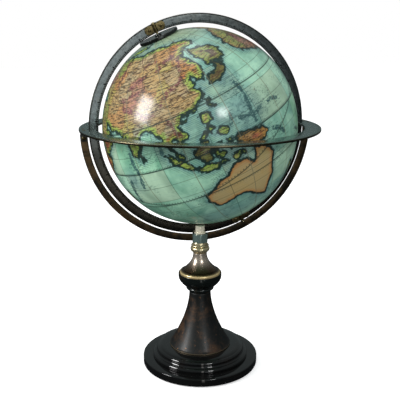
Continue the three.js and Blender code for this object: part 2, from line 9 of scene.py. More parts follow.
import bmesh
import bpy
import numpy as np
from mathutils import Euler, Matrix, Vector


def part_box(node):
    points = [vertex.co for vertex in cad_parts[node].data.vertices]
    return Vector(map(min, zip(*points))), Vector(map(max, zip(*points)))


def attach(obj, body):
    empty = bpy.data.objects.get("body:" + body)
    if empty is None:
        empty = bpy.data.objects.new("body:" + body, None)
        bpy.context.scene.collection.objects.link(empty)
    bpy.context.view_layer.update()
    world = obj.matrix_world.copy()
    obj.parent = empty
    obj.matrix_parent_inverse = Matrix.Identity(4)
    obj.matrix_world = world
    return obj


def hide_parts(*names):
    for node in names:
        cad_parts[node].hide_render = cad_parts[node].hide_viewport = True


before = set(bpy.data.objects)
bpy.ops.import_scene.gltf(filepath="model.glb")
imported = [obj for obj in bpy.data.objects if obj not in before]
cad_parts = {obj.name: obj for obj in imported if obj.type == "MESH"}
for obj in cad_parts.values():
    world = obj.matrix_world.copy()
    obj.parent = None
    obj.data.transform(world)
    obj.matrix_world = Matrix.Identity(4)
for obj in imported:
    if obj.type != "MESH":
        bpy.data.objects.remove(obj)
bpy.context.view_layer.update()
MM = 0.001
DEGREES = 180 / math.pi

# ---- Places taken from the frame ---------------------------------------------------------------


def box(node):
    """The lowest and the highest corner of a node's box."""
    low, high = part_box(node)
    return np.array(low), np.array(high)


ring_low, ring_high = box("meridian_ring")
CENTRE = np.array([0, 0, (ring_low[2] + ring_high[2]) / 2])
MERIDIAN_OUT = (ring_high[2] - ring_low[2]) / 2
MERIDIAN_IN = MERIDIAN_OUT - 15.4 * MM  # the ring is 15.4 mm wide
RING_FRONT, RING_BACK = ring_low[1], ring_high[1]
RING_MID = (RING_FRONT + RING_BACK) / 2
BALL_R = 160 * MM
TILT = math.radians(24.8)
AXIS = np.array([-math.sin(TILT), 0, math.cos(TILT)])
ACROSS = np.array([math.cos(TILT), 0, math.sin(TILT)])
SIDEWAYS = np.array([0, 1, 0])
HORIZON_LOW, HORIZON_TOP = (float(v[2]) for v in box("horizon_ring"))
HORIZON_OUT = float(box("horizon_ring")[1][0])
HORIZON_IN = BALL_R + 11 * MM
CRADLE_OUT = float(CENTRE[2] - box("cradle_arc")[0][2])
CRADLE_IN = CRADLE_OUT - 11.7 * MM
SLOT_FRONT, SLOT_BACK = RING_MID - 2.8 * MM, RING_MID + 2.8 * MM


def axes(origin, x, y, z):
    """Axes of their own for a piece: where they start, and their three directions."""
    return np.array(origin, float), np.array([x, y, z], float)


UPRIGHT = axes((0, 0, 0), (1, 0, 0), (0, 1, 0), (0, 0, 1))
NORTH = axes(CENTRE, ACROSS, SIDEWAYS, AXIS)
SOUTH = axes(CENTRE, -ACROSS, SIDEWAYS, -AXIS)
UPRIGHT_FROM_FRONT = axes((0, 0, 0), (1, 0, 0), (0, 0, 1), (0, -1, 0))
FACING = axes(CENTRE, (1, 0, 0), (0, 0, 1), (0, -1, 0))  # the same, from the ball's centre


def place(points, where):
    """Points given in some axes, in the frame's own: origin plus each number times its direction."""
    origin, basis = where
    return origin + points @ basis


# ---- Surfaces ----------------------------------------------------------------------------------


def arc(x, y, radius, start, end, count):
    """Points on a circle from one angle to another in degrees: centre plus radius by cos and sin."""
    angle = np.radians(np.linspace(start, end, count + 1))
    return np.stack([x + radius * np.cos(angle), y + radius * np.sin(angle)], 1)


def path(*parts):
    """One row of points made of single points and rows of points."""
    return np.concatenate([np.atleast_2d(np.array(part, float)) for part in parts])


def eased(outline, radius, closed=False, steps=4):
    """Each corner of an outline becomes a parabola that leaves its two sides one radius away."""
    points = np.array(outline, float)
    before, after = np.roll(points, 1, 0) - points, np.roll(points, -1, 0) - points
    reach_before = np.linalg.norm(before, axis=1, keepdims=True)
    reach_after = np.linalg.norm(after, axis=1, keepdims=True)
    start = points + before * np.minimum(radius / reach_before, 0.45)
    end = points + after * np.minimum(radius / reach_after, 0.45)
    t = np.linspace(0, 1, steps + 1)[None, :, None]
    curve = (1 - t) ** 2 * start[:, None] + 2 * t * (1 - t) * points[:, None] + t**2 * end[:, None]
    if closed:
        return curve.reshape(-1, 2)
    return np.concatenate([points[:1], curve[1:-1].reshape(-1, 2), points[-1:]])


def grid_faces(rows, columns, wrap_rows, wrap_columns):
    """Quads between neighbouring points of a grid, each way closed on itself or not."""
    r = np.arange(rows if wrap_rows else rows - 1)
    c = np.arange(columns if wrap_columns else columns - 1)
    i, j = np.meshgrid(r, c, indexing="ij")
    i2, j2 = (i + 1) % rows, (j + 1) % columns
    corners = [i * columns + j, i2 * columns + j, i2 * columns + j2, i * columns + j2]
    return np.stack(corners, -1).reshape(-1, 4)


def outward(points, quads, triangles):
    """Turns the faces over where the closed surface's volume comes out below zero."""
    fans = np.concatenate([quads[:, [0, 1, 2]], quads[:, [0, 2, 3]], triangles])
    a, b, c = (points[fans[:, k]] for k in range(3))
    if np.einsum("ij,ij->i", a, np.cross(b, c)).sum() < 0:
        return points, quads[:, ::-1], triangles[:, ::-1]
    return points, quads, triangles


def lidded(grid, wrap_rows, centres=(None, None)):
    """A grid closed round its columns. Its first and last rows are shut with fans from a centre,
    unless the rows close on themselves."""
    rows, columns = grid.shape[:2]
    points = grid.reshape(-1, 3)
    quads = grid_faces(rows, columns, wrap_rows, True)
    if wrap_rows:
        return outward(points, quads, np.zeros((0, 3), int))
    tips = [grid[k].mean(0) if centre is None else centre for k, centre in zip((0, -1), centres)]
    j = np.arange(columns)
    around = (j + 1) % columns
    last = (rows - 1) * columns
    n = len(points)
    foot = np.stack([np.full(columns, n), j, around], 1)
    crown = np.stack([np.full(columns, n + 1), last + around, last + j], 1)
    return outward(np.concatenate([points, np.array(tips)]), quads, np.concatenate([foot, crown]))


def turned(profile, where=UPRIGHT, count=160):
    """A closed profile of radius and height turned once round an axis: the two places across it are
    the radius by the cosine and by the sine of the angle."""
    angle = np.linspace(0, 2 * np.pi, count, endpoint=False)
    radius, height = profile[:, :1], profile[:, 1:]
    grid = np.stack([radius * np.cos(angle), radius * np.sin(angle), height + 0 * angle], -1)
    points, quads, triangles = lidded(grid, True)
    return outward(place(points, where), quads, triangles)


def swept(section, start, end, where, count=160):
    """A section of radius and height carried round part of a circle. Each radius has its own first
    and last angle, so that the ends can be cut straight."""
    radius, height = section.T
    share = np.linspace(0, 1, count + 1)[:, None]
    angle = start(radius) + share * (end(radius) - start(radius))
    grid = np.stack([radius * np.cos(angle), radius * np.sin(angle), height + 0 * angle], -1)
    points, quads, triangles = lidded(grid, False)
    return outward(place(points, where), quads, triangles)


def cheek(profile, chord, side, where, count=48):
    """The part of a turned solid beyond a plane along its axis: at each height the outline runs
    round the circle on one side of the plane and back along the chord."""
    lean = np.arcsin(np.clip(side * chord / profile[:, :1], -1, 1))
    share = np.linspace(0, 1, count + 1)
    angle = side * (lean + share * (np.pi - 2 * lean))
    radius, height = profile[:, :1], profile[:, 1:]
    grid = np.stack([radius * np.cos(angle), radius * np.sin(angle), height + 0 * angle], -1)
    points, quads, triangles = lidded(grid, False)
    return outward(place(points, where), quads, triangles)


def added(name, points, faces, body, material, stands_for=()):
    """A mesh with one material, added to the scene and told what it rides on and stands for."""
    mesh = bpy.data.meshes.new(name)
    mesh.from_pydata(np.concatenate(points).tolist(), [], faces)
    mesh.materials.append(material)
    thing = bpy.data.objects.new(name, mesh)
    bpy.context.scene.collection.objects.link(thing)
    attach(thing, body)
    if stands_for:
        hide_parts(*stands_for)
    return thing


def piece(name, shells, body, material, stands_for, crisp=38):
    """One mesh of one or more closed surfaces, smooth except along folds sharper than an angle."""
    total, points, faces = 0, [], []
    for at, quads, triangles in shells:
        points.append(at)
        faces += (quads + total).tolist() + (triangles + total).tolist()
        total += len(at)
    thing = added(name, points, faces, body, material, stands_for)
    thing.data.polygons.foreach_set("use_smooth", np.ones(len(faces), bool))
    thing.data.set_sharp_from_angle(angle=math.radians(crisp))
    return thing


# ---- Shader maths ------------------------------------------------------------------------------


class Value:
    """A socket that adds Math nodes when it is used in an expression."""

    def __init__(self, tree, socket):
        self.tree, self.socket = tree, socket

    def call(self, operation, *others):
        return self.tree.add("ShaderNodeMath", {"operation": operation}, [self, *others])

    def __add__(self, other):
        return self.call("ADD", other)

    def __sub__(self, other):
        return self.call("SUBTRACT", other)

    def __rsub__(self, other):
        return self * -1 + other

    def __mul__(self, other):
        return self.call("MULTIPLY", other)

    def __truediv__(self, other):
        return self.call("DIVIDE", other)

    __radd__ = __add__


class Finish:
    """A material with one glossy shader, and the nodes that are added to it."""

    def __init__(self, name, **constants):
        self.material = bpy.data.materials.new(name)
        self.material.use_nodes = True
        self.tree = self.material.node_tree
        self.tree.nodes.clear()
        output = self.tree.nodes.new("ShaderNodeOutputMaterial")
        self.shader = self.tree.nodes.new("ShaderNodeBsdfPrincipled")
        self.tree.links.new(self.shader.outputs[0], output.inputs[0])
        for socket, value in constants.items():
            self.shader.inputs[socket.replace("_", " ")].default_value = value
        self.at = self.add("ShaderNodeTexCoord", {}, {}, "Object")

    def add(self, kind, settings, inputs, output=0):
        """A node of a kind: its settings first, then the values or links of its sockets."""
        node = self.tree.nodes.new(kind)
        for key, value in settings.items():
            if key == "stops":
                ramp = node.color_ramp.elements
                while len(ramp) < len(value):
                    ramp.new(0.5)
                for element, (position, colour) in zip(ramp, value):
                    element.position, element.color = position, (*colour, 1)
            else:
                setattr(node, key, value)
        for key, value in inputs.items() if isinstance(inputs, dict) else enumerate(inputs):
            if isinstance(value, Value):
                self.tree.links.new(value.socket, node.inputs[key])
            else:
                node.inputs[key].default_value = value
        return None if output is None else Value(self, node.outputs[output])

    def paint(self, colour, roughness=None, metallic=None, bump=None, depth=0.001):
        """Links what varies over the surface to the shader, with the bump's full depth in metres."""
        sockets = {"Base Color": colour, "Roughness": roughness, "Metallic": metallic}
        if bump is not None:
            sockets["Normal"] = self.add("ShaderNodeBump", {},
                                         {"Distance": depth, "Height": bump, "Strength": 1.0})
        for name, value in sockets.items():
            if value is not None:
                self.tree.links.new(value.socket, self.shader.inputs[name])
        return self.material

    def noise(self, scale, detail=3.0, rough=0.5, at=None, warp=0.0):
        settings = {"Vector": at or self.at, "Scale": scale, "Detail": detail, "Roughness": rough,
                    "Distortion": warp}
        return self.add("ShaderNodeTexNoise", {}, settings)

    def cells(self, scale):
        """Distance to the nearest of many scattered points."""
        return self.add("ShaderNodeTexVoronoi", {}, {"Vector": self.at, "Scale": scale}, "Distance")

    def mix(self, share, first, second, blend="MIX"):
        """Mixes two colours, given as sockets or as red, green and blue."""
        first, second = (c if isinstance(c, Value) else (*c, 1) for c in (first, second))
        return self.add("ShaderNodeMix", {"data_type": "RGBA", "blend_type": blend, "clamp_factor": True},
                        {0: share, 6: first, 7: second}, 2)

    def vector(self, operation, *inputs, output=0):
        return self.add("ShaderNodeVectorMath", {"operation": operation}, list(inputs), output)

    def parts(self, vector):
        return [self.add("ShaderNodeSeparateXYZ", {}, [vector], k) for k in range(3)]

    def joined(self, x, y, z):
        return self.add("ShaderNodeCombineXYZ", {}, [x, y, z])

    def stretched(self, scale):
        return self.vector("MULTIPLY", self.at, scale)

    def within(self, where):
        """The place on the object in a piece's own axes: dot products with their directions."""
        origin, basis = where
        moved = self.vector("SUBTRACT", self.at, tuple(map(float, origin)))
        return [self.vector("DOT_PRODUCT", moved, tuple(map(float, way)), output="Value") for way in basis]

    def attribute(self, name, output="Fac"):
        return self.add("ShaderNodeAttribute", {"attribute_name": name}, {}, output)

    def rise(self, value, low, high, to_low=0.0, to_high=1.0):
        """A smooth step from one value to another."""
        return self.add("ShaderNodeMapRange", {"interpolation_type": "SMOOTHSTEP"},
                        {0: value, 1: low, 2: high, 3: to_low, 4: to_high})

    def line(self, value, width, soft=0.5):
        """One where a value is within a width of zero, with soft edges."""
        return self.rise(value.call("ABSOLUTE"), width * (1 - soft), width * (1 + soft), 1.0, 0.0)

    def every(self, value, step, width, soft=0.4, squeeze=1.0):
        """Lines at each multiple of a step of a value. Squeezed, they keep their width where the
        step itself gets shorter."""
        return self.line(((value / step + 0.5).call("FRACT") - 0.5) * step * squeeze, width, soft)

    def ruled(self, value, step, width):
        """Soft rows, one to each step of a value, whose width is a share of the step."""
        return self.line((value / step).call("FRACT") - 0.5, width, 0.6)

    def ramp(self, value, *stops):
        """A colour from stops, each a position and a colour."""
        return self.add("ShaderNodeValToRGB", {"stops": stops}, [value])


def largest(first, *rest):
    """The largest of several values at each place."""
    for other in rest:
        first = first.call("MAXIMUM", other)
    return first


# ---- Finishes ----------------------------------------------------------------------------------


def felt():
    """Green felt: fine matted fibres that lie every way."""
    f = Finish("felt", Roughness=0.96, Sheen_Weight=0.6, Sheen_Roughness=0.5)
    fibres = f.noise(900, 6, 0.8, warp=2.0)
    clumps = f.noise(90, 3)
    colour = f.mix(fibres * 0.7 + clumps * 0.3, (0.008, 0.03, 0.018), (0.03, 0.1, 0.055))
    return f.paint(colour, bump=fibres, depth=0.0006)


def black_lacquer():
    """Deep black gloss over turned wood, with hairline rubbing marks and a little dust."""
    f = Finish("black_lacquer", Specular_IOR_Level=0.3, Coat_Weight=0.6, Coat_Roughness=0.03)
    grain = f.noise(60, 4, at=f.stretched((1, 1, 14)))
    cloud = f.noise(14, 4)
    rubbed = f.rise(f.noise(240, 4, 0.7, warp=1.0), 0.55, 0.75)
    colour = f.mix(grain * 0.6, (0.003, 0.004, 0.0045), (0.009, 0.007, 0.006))
    colour = f.mix(f.rise(cloud, 0.5, 0.75) * 0.5, colour, (0.012, 0.007, 0.005))
    return f.paint(colour, 0.07 + rubbed * 0.07 + cloud * 0.04, bump=f.noise(35, 2), depth=0.00025)


def mottled_bronze():
    """Dark patina, cloudy, with warm brown patches where it was rubbed through. The patches show only on
    the left-front side, where the side light falls, so that side is lighter: painted light.
    """
    f = Finish("mottled_bronze", Coat_Weight=0.1, Coat_Roughness=0.25)
    x, y, z = f.parts(f.at)
    broad = f.noise(22, 5, 0.62, warp=0.6)
    fine = f.noise(95, 6, 0.7, warp=0.4)
    patch = f.rise(broad * 0.55 + fine * 0.45, 0.46, 0.66)
    # Painted light: the warm patches show only on the left-front side, where the side light falls.
    painted_light_side = f.rise(x * 0.9 + y * 0.45, -0.05, 0.03, 1.0, 0.22)
    warm = patch * painted_light_side
    dark = f.mix(fine, (0.0025, 0.004, 0.0045), (0.01, 0.0105, 0.0095))
    colour = f.mix(warm, dark, f.mix(fine, (0.03, 0.013, 0.005), (0.12, 0.055, 0.02)))
    # Brighter rubbed spots, also kept to the left-front side as painted light.
    colour = f.mix(f.rise(f.noise(160, 3), 0.64, 0.72) * painted_light_side * 0.6, colour, (0.22, 0.1, 0.035))
    edge = f.rise(z, 0.0352, 0.0374, 1.0, 0.0)
    colour = f.mix(edge * 0.85, colour, (0.3, 0.24, 0.16))
    roughness = 0.4 + fine * 0.14 + warm * 0.12
    return f.paint(colour, roughness, 0.45 + edge * 0.5, bump=fine, depth=0.00018)


def black_bronze(name="black_bronze", warm=0.12, tone=1.0):
    """Blackened and polished metal: almost black, faintly green, with turning lines. The warm share
    sets how much brown shows through, and the tone how light it is."""
    f = Finish(name, Metallic=0.5, Coat_Weight=0.6, Coat_Roughness=0.06)
    x, y, z = f.parts(f.at)
    cloud = f.noise(38, 5, 0.6, warp=0.5)
    lines = f.noise(1.0, 3, at=f.joined(x * 3, y * 3, z * 900))
    colour = f.mix(cloud, (0.0035 * tone, 0.006 * tone, 0.006 * tone),
                   (0.014 * tone, 0.019 * tone, 0.017 * tone))
    colour = f.mix(f.rise(cloud, 0.58, 0.75) * warm * 4, colour, (0.045, 0.026, 0.012))
    return f.paint(colour, 0.14 + cloud * 0.1 + lines * 0.05, bump=lines, depth=0.00004)


def brown_bronze(rim=None):
    """Brown patina over polished bronze. A worn band just above a height, if given, is bright brass,
    and the metal pales above it."""
    f = Finish("brown_bronze" if rim is None else "brown_bronze_with_bright_rim", Metallic=1.0)
    x, y, z = f.parts(f.at)
    cloud = f.noise(30, 5, 0.62, warp=0.7)
    fine = f.noise(210, 5, 0.7)
    colour = f.mix(cloud * 0.7 + fine * 0.3, (0.035, 0.02, 0.011), (0.2, 0.125, 0.07))
    if rim is None:
        colour = f.mix(f.rise(cloud, 0.36, 0.66), (0.03, 0.028, 0.021),
                       f.mix(fine, (0.07, 0.045, 0.024), (0.2, 0.125, 0.06)))
        return f.paint(colour, 0.24 + fine * 0.16, bump=fine, depth=0.00012)
    height = (z - rim) * 1000
    colour = f.mix(f.rise(height, 8.0, 30.0) * 0.75, colour,
                   f.mix(fine, (0.42, 0.35, 0.29), (0.76, 0.68, 0.58)))
    worn = f.rise(height + fine * 1.6, 5.4, 7.6, 1.0, 0.0)
    colour = f.mix(worn, colour, f.mix(fine, (0.52, 0.38, 0.16), (0.82, 0.66, 0.36)))
    groove = f.line(height - 8.2, 0.5)
    colour = f.mix(groove * 0.8, colour, (0.02, 0.012, 0.006))
    lines = f.noise(1.0, 3, at=f.joined(x * 3, y * 3, z * 900))
    metallic = 1 - worn * 0.45 - f.rise(height, 8.0, 30.0) * 0.25
    return f.paint(colour, 0.19 + fine * 0.1 + lines * 0.05, metallic, bump=lines, depth=0.00004)


def polished_brass(name="polished_brass", where=UPRIGHT, pale=0.0):
    """Polished brass with fine lines round it, and brown tarnish that gathers in patches. The pale
    share makes it whiter and less mirror-like."""
    f = Finish(name, Metallic=1.0 - pale)
    along = f.within(where)[2]
    lines = f.noise(1.0, 4, at=f.joined(along * 1100, 0.0, 0.0))
    cloud = f.noise(120, 5, 0.65, warp=0.5)
    bright = f.mix(lines, (0.56, 0.44, 0.2), (0.78, 0.68, 0.42))
    if pale:
        bright = f.mix(pale, bright, (0.95, 0.93, 0.82))
    colour = f.mix(f.rise(cloud, 0.52, 0.74) * 0.75, bright, (0.16, 0.1, 0.035))
    return f.paint(colour, 0.15 + cloud * 0.12 + lines * 0.06, bump=lines, depth=0.00003)


def old_brass():
    """Aged brass: brown-green film, darker in blotches, brighter where fingers rub it."""
    f = Finish("old_brass", Metallic=1.0)
    cloud = f.noise(260, 5, 0.7, warp=0.6)
    fine = f.noise(1200, 4, 0.7)
    colour = f.ramp(cloud * 0.75 + fine * 0.25, (0.3, (0.018, 0.014, 0.007)), (0.5, (0.1, 0.078, 0.035)),
                    (0.68, (0.3, 0.24, 0.11)))
    return f.paint(colour, 0.26 + fine * 0.2, bump=cloud, depth=0.00012)


def steel():
    """Plain steel with fine grinding lines and a little oil staining."""
    f = Finish("steel", Metallic=1.0)
    lines = f.noise(1.0, 4, at=f.stretched((40, 40, 2600)))
    stain = f.noise(160, 4)
    colour = f.mix(f.rise(stain, 0.5, 0.75) * 0.6, f.mix(lines, (0.2, 0.2, 0.2), (0.36, 0.36, 0.35)),
                   (0.09, 0.07, 0.05))
    return f.paint(colour, 0.3 + lines * 0.2, bump=lines, depth=0.00003)


def plain_wood():
    """Turned blocks: long rings of darker grain."""
    f = Finish("plain_wood", Roughness=0.7)
    grain = f.noise(8, 5, 0.6, at=f.stretched((14, 14, 1.2)), warp=1.2)
    colour = f.ramp(grain, (0.3, (0.2, 0.11, 0.045)), (0.6, (0.42, 0.26, 0.12)))
    return f.paint(colour, bump=grain, depth=0.0003)


def pasteboard():
    """Layered paper board with pressed fibres."""
    f = Finish("board", Roughness=0.92)
    fibres = f.noise(420, 5, 0.7, at=f.stretched((1, 1, 5)))
    colour = f.mix(fibres, (0.36, 0.29, 0.18), (0.56, 0.48, 0.33))
    return f.paint(colour, bump=fibres, depth=0.0003)


def bronze_ground(f):
    """Dark patina with worn lighter clouds: its colour, and the fine noise under it."""
    cloud = f.noise(26, 5, 0.62, warp=0.5)
    fine = f.noise(330, 5, 0.7)
    colour = f.mix(f.rise(cloud * 0.7 + fine * 0.3, 0.38, 0.64), (0.018, 0.02, 0.018), (0.078, 0.078, 0.066))
    colour = f.mix(f.rise(f.noise(70, 5, 0.7), 0.56, 0.72) * 0.6, colour, (0.105, 0.066, 0.03))
    return colour, fine


def meridian_finish():
    """Dark bronze. The front face has degree ticks at its inner edge and ruled circles, cut from
    the angle and the distance from the ball's centre."""
    f = Finish("dark_bronze_graduated", Metallic=1.0)
    ground, fine = bronze_ground(f)
    x, y, z = f.parts(f.vector("SUBTRACT", f.at, tuple(map(float, CENTRE))))
    radius = (x * x + z * z).call("SQRT") * 1000
    degrees = (x.call("ARCTAN2", z) + TILT) * DEGREES
    front = f.rise(y, RING_FRONT + 0.00002, RING_FRONT + 0.0002, 1.0, 0.0)
    inner = MERIDIAN_IN * 1000

    def ticks(step, width, end):
        return f.every(degrees, step, width, 0.3) * f.rise(radius, inner + end - 0.2, inner + end, 1.0, 0.0)

    marks = largest(ticks(1, 0.17, 3.4), ticks(5, 0.2, 5.0), ticks(10, 0.22, 6.2))
    rules = largest(*(f.line(radius - inner - at, 0.16) for at in (0.7, 3.5, 13.6, 14.4)))
    cut = largest(marks, rules) * front
    silvered = front * f.rise(radius, inner + 0.6, inner + 0.8)
    silvered = silvered * f.rise(radius, inner + 14.2, inner + 14.4, 1.0, 0.0)
    ground = f.mix(front * f.rise(z, 0.0, -0.09) * 0.7, ground,
                   f.mix(fine, (0.03, 0.021, 0.012), (0.115, 0.08, 0.042)))
    # Painted light: the silvered face keeps full strength above the ball's centre and fades to a fifth below
    # it, so the upper ring is lighter.
    silvered = silvered * f.rise(z, -0.05, 0.05, 0.2, 1.0)
    ground = f.mix(silvered * f.rise(fine, 0.25, 0.65, 0.3, 0.5), ground,
                   f.mix(fine, (0.2, 0.235, 0.24), (0.38, 0.42, 0.42)))
    edge = largest(f.rise(radius, inner + 14.9, inner + 15.3),
                   f.rise(radius, inner + 0.1, inner + 0.4, 1.0, 0.0))
    ground = f.mix(edge * 0.45, ground, (0.16, 0.15, 0.12))
    colour = f.mix(cut, ground, (0.003, 0.003, 0.003))
    return f.paint(colour, 0.15 + fine * 0.14 + cut * 0.3, bump=fine * 0.25 - cut, depth=0.00025)


def horizon_finish():
    """Dark bronze ring. Its top has a ruled scale of days and thirty-degree signs near its edge, on a pale
    teal-grey ground that is a painted reflection.
    """
    f = Finish("dark_bronze_horizon", Metallic=1.0)
    ground, fine = bronze_ground(f)
    x, y, z = f.parts(f.at)
    radius = (x * x + y * y).call("SQRT") * 1000
    degrees = y.call("ARCTAN2", x) * DEGREES
    top = f.rise(z, HORIZON_TOP - 0.0002, HORIZON_TOP - 0.00003)
    outer, inner = HORIZON_OUT * 1000, HORIZON_IN * 1000
    day = f.every(degrees, 1, 0.14, 0.3) * f.line(radius - (outer - 3.2), 1.2, 0.05)
    sign = f.every(degrees, 30, 0.16, 0.3) * f.rise(radius, inner + 2.8, inner + 3)
    rules = largest(*(f.line(radius - at, 0.15) for at in (outer - 4.5, outer - 1.9, inner + 3, inner + 2.2)))
    cut = largest(day, sign, rules) * top * f.rise(radius, outer - 1.5, outer - 1.3, 1.0, 0.0)
    # Painted reflection: the top face is pale teal-grey, standing in for the glossy top catching the room's
    # light at a low angle.
    ground = f.mix(top * 0.8, ground, f.mix(fine, (0.25, 0.39, 0.36), (0.42, 0.56, 0.52)))
    worn = f.rise(radius, outer - 0.5, outer - 0.1)
    ground = f.mix(worn * 0.35, ground, (0.32, 0.27, 0.15))
    colour = f.mix(cut * 0.7, ground, (0.006, 0.008, 0.007))
    return f.paint(colour, 0.2 + fine * 0.12 + cut * 0.3, bump=fine * 0.25 - cut, depth=0.0002)


def plain_dark_bronze():
    """The rings' dark bronze without a scale."""
    f = Finish("dark_bronze", Metallic=1.0)
    ground, fine = bronze_ground(f)
    return f.paint(ground, 0.26 + fine * 0.18, bump=fine, depth=0.00012)


def hour_finish():
    """Blackened cap with hour lines and two ruled circles on its top."""
    f = Finish("black_bronze_hours", Coat_Weight=0.6, Coat_Roughness=0.08)
    a, b, h = f.within(NORTH)
    radius = (a * a + b * b).call("SQRT") * 1000
    degrees = b.call("ARCTAN2", a) * DEGREES
    top = f.rise(h, 0.1616, 0.1621)
    hour = f.every(degrees, 15, 0.9, 0.3) * f.line(radius - 25.5, 3.4, 0.05)
    half = f.every(degrees, 7.5, 0.6, 0.3) * f.line(radius - 27.6, 1.3, 0.05)
    rules = largest(*(f.line(radius - at, 0.22) for at in (29.2, 21.8, 9.0)))
    cut = largest(hour, half, rules) * top
    cloud = f.noise(60, 5, 0.6, warp=0.5)
    colour = f.mix(cloud, (0.004, 0.006, 0.006), (0.02, 0.023, 0.019))
    colour = f.mix(cut * 0.8, colour, (0.3, 0.26, 0.16))
    return f.paint(colour, 0.15 + cloud * 0.14, 0.5 + cut * 0.5, bump=cloud * 0.2 - cut, depth=0.0002)


# ---- The map -------------------------------------------------------------------------------------

FIRST_MERIDIAN = 218  # map longitude, in degrees, that faces +X when the globe is at rest

OCHRE, ORANGE, YELLOW = (0.37, 0.26, 0.11), (0.4, 0.21, 0.075), (0.37, 0.31, 0.09)
ROSE, GREEN, RED = (0.31, 0.13, 0.1), (0.2, 0.29, 0.055), (0.33, 0.055, 0.03)
TAN, OLIVE, UMBER, GREY = (0.34, 0.27, 0.15), (0.14, 0.19, 0.04), (0.055, 0.03, 0.013), (0.3, 0.31, 0.21)
LEAF, RUST = (0.19, 0.35, 0.05), (0.4, 0.15, 0.035)

# Each coast: the colour of the wash inside it, then points of longitude and latitude in degrees.
COASTS = [
    (LEAF, (40, 68), (62, 68), (83, 68), (104, 69), (126, 68), (139, 67), (150, 62), (141, 60),
     (131, 58), (129, 53), (135, 46), (134, 39), (132, 35), (129, 37), (126, 41), (123, 39), (125, 35),
     (128, 30), (126, 26), (119, 23), (110, 21), (107, 18), (109, 15), (110, 12), (105, 10), (102, 13),
     (100, 9), (104, 2), (101, 3), (98, 9), (97, 16), (94, 17), (91, 22), (88, 22), (82, 17), (80, 13),
     (78, 8), (75, 11), (73, 18), (72, 21), (67, 24), (58, 26), (51, 30), (50, 26), (56, 24), (59, 22),
     (53, 16), (44, 12), (39, 21), (34, 29), (36, 36), (27, 37), (29, 41), (41, 42), (37, 47), (29, 44),
     (23, 38), (13, 45), (18, 40), (10, 44), (3, 43), (-1, 38), (-6, 36), (-9, 38), (-9, 43), (-2, 44),
     (-4, 48), (3, 51), (9, 57), (12, 54), (21, 56), (29, 60), (21, 60), (24, 65), (18, 61), (14, 56),
     (6, 58), (5, 62), (15, 68), (27, 71), (38, 65)),
    (OLIVE, (138, 57), (148, 55), (156, 53), (160, 48), (156, 42), (149, 41), (142, 42), (137, 49)),
    (LEAF, (50, 70), (60, 75), (75, 77), (92, 77), (86, 74), (68, 72)),
    (UMBER, (137, 36), (143, 37), (146, 41), (150, 39), (150, 35), (146, 34), (141, 31), (136, 32)),
    (LEAF, (127, 25), (129, 25), (129, 21), (127, 22)),
    (LEAF, (108, 20), (112, 20), (111, 18), (109, 18)),
    (LEAF, (120, 18), (124, 19), (125, 15), (123, 13), (120, 15)),
    (LEAF, (121, 12), (124, 12), (125, 10), (122, 9)),
    (LEAF, (124, 7), (127, 9), (131, 7), (128, 5)),
    (LEAF, (115, 8), (119, 11), (120, 10), (117, 7)),
    (LEAF, (94, 6), (98, 5), (103, -1), (106, -5), (103, -5), (98, 0)),
    (LEAF, (106, -5), (112, -6), (119, -7), (124, -8), (118, -10), (109, -9)),
    (LEAF, (127, -7), (131, -7), (135, -9), (129, -10)),
    (UMBER, (109, 2), (113, 5), (118, 6), (118, 1), (117, -4), (111, -3)),
    (LEAF, (119, -4), (119, 1), (124, 2), (121, 0), (124, -4), (121, -5)),
    (LEAF, (128, 2), (130, 2), (131, -2), (128, -3)),
    (RUST, (131, 0), (138, 1), (145, 0), (152, -5), (146, -8), (138, -6), (134, -3)),
    (RUST, (140, -9), (138, -17), (133, -12), (128, -12), (121, -17), (113, -20), (105, -24), (104, -29),
     (108, -35), (117, -34), (126, -33), (135, -39), (144, -45), (146, -36), (149, -25), (152, -18),
     (145, -10)),
    (LEAF, (79, 9), (81, 9), (82, 7), (80, 6)),
    (LEAF, (173, -35), (178, -38), (174, -42), (168, -47), (171, -41)),
    (LEAF, (43, -16), (49, -12), (50, -16), (46, -25), (44, -22)),
    (ORANGE, (-6, 35), (10, 37), (20, 32), (32, 31), (36, 24), (43, 11), (51, 12), (46, 3), (40, -4),
     (40, -15), (35, -21), (32, -28), (25, -34), (18, -34), (14, -24), (12, -15), (13, -6), (9, 2),
     (4, 6), (-8, 4), (-14, 10), (-17, 15), (-15, 24), (-9, 31)),
    (LEAF, (-6, 50), (1, 51), (0, 54), (-3, 58), (-6, 56)),
    (LEAF, (-10, 52), (-6, 52), (-6, 55), (-9, 54)),
    (ROSE, (-24, 65), (-15, 66), (-14, 64), (-21, 63)),
    (LEAF, (-68, 77), (-53, 69), (-47, 60), (-39, 65), (-22, 71), (-20, 77)),
    (ROSE, (200, 68), (185, 60), (175, 54), (170, 48), (172, 42), (180, 36), (190, 33), (201, 29),
     (214, 30), (228, 34), (241, 30), (249, 23), (258, 16), (270, 13), (277, 8), (283, 8), (277, 13),
     (271, 19), (266, 18), (262, 23), (265, 30), (276, 30), (279, 25), (280, 32), (286, 40), (296, 46),
     (304, 52), (296, 60), (283, 62), (281, 54), (268, 57), (266, 66), (250, 69), (225, 70)),
    (LEAF, (275, 22), (281, 23), (286, 20), (280, 20)),
    (LEAF, (286, 18), (287, 20), (291, 19), (289, 17)),
    (GREEN, (283, 8), (290, 12), (300, 9), (309, 4), (313, -2), (325, -6), (321, -17), (315, -24),
     (311, -31), (302, -36), (296, -42), (292, -53), (286, -52), (285, -42), (289, -32), (290, -19),
     (283, -12), (279, -4), (281, 3)),
]

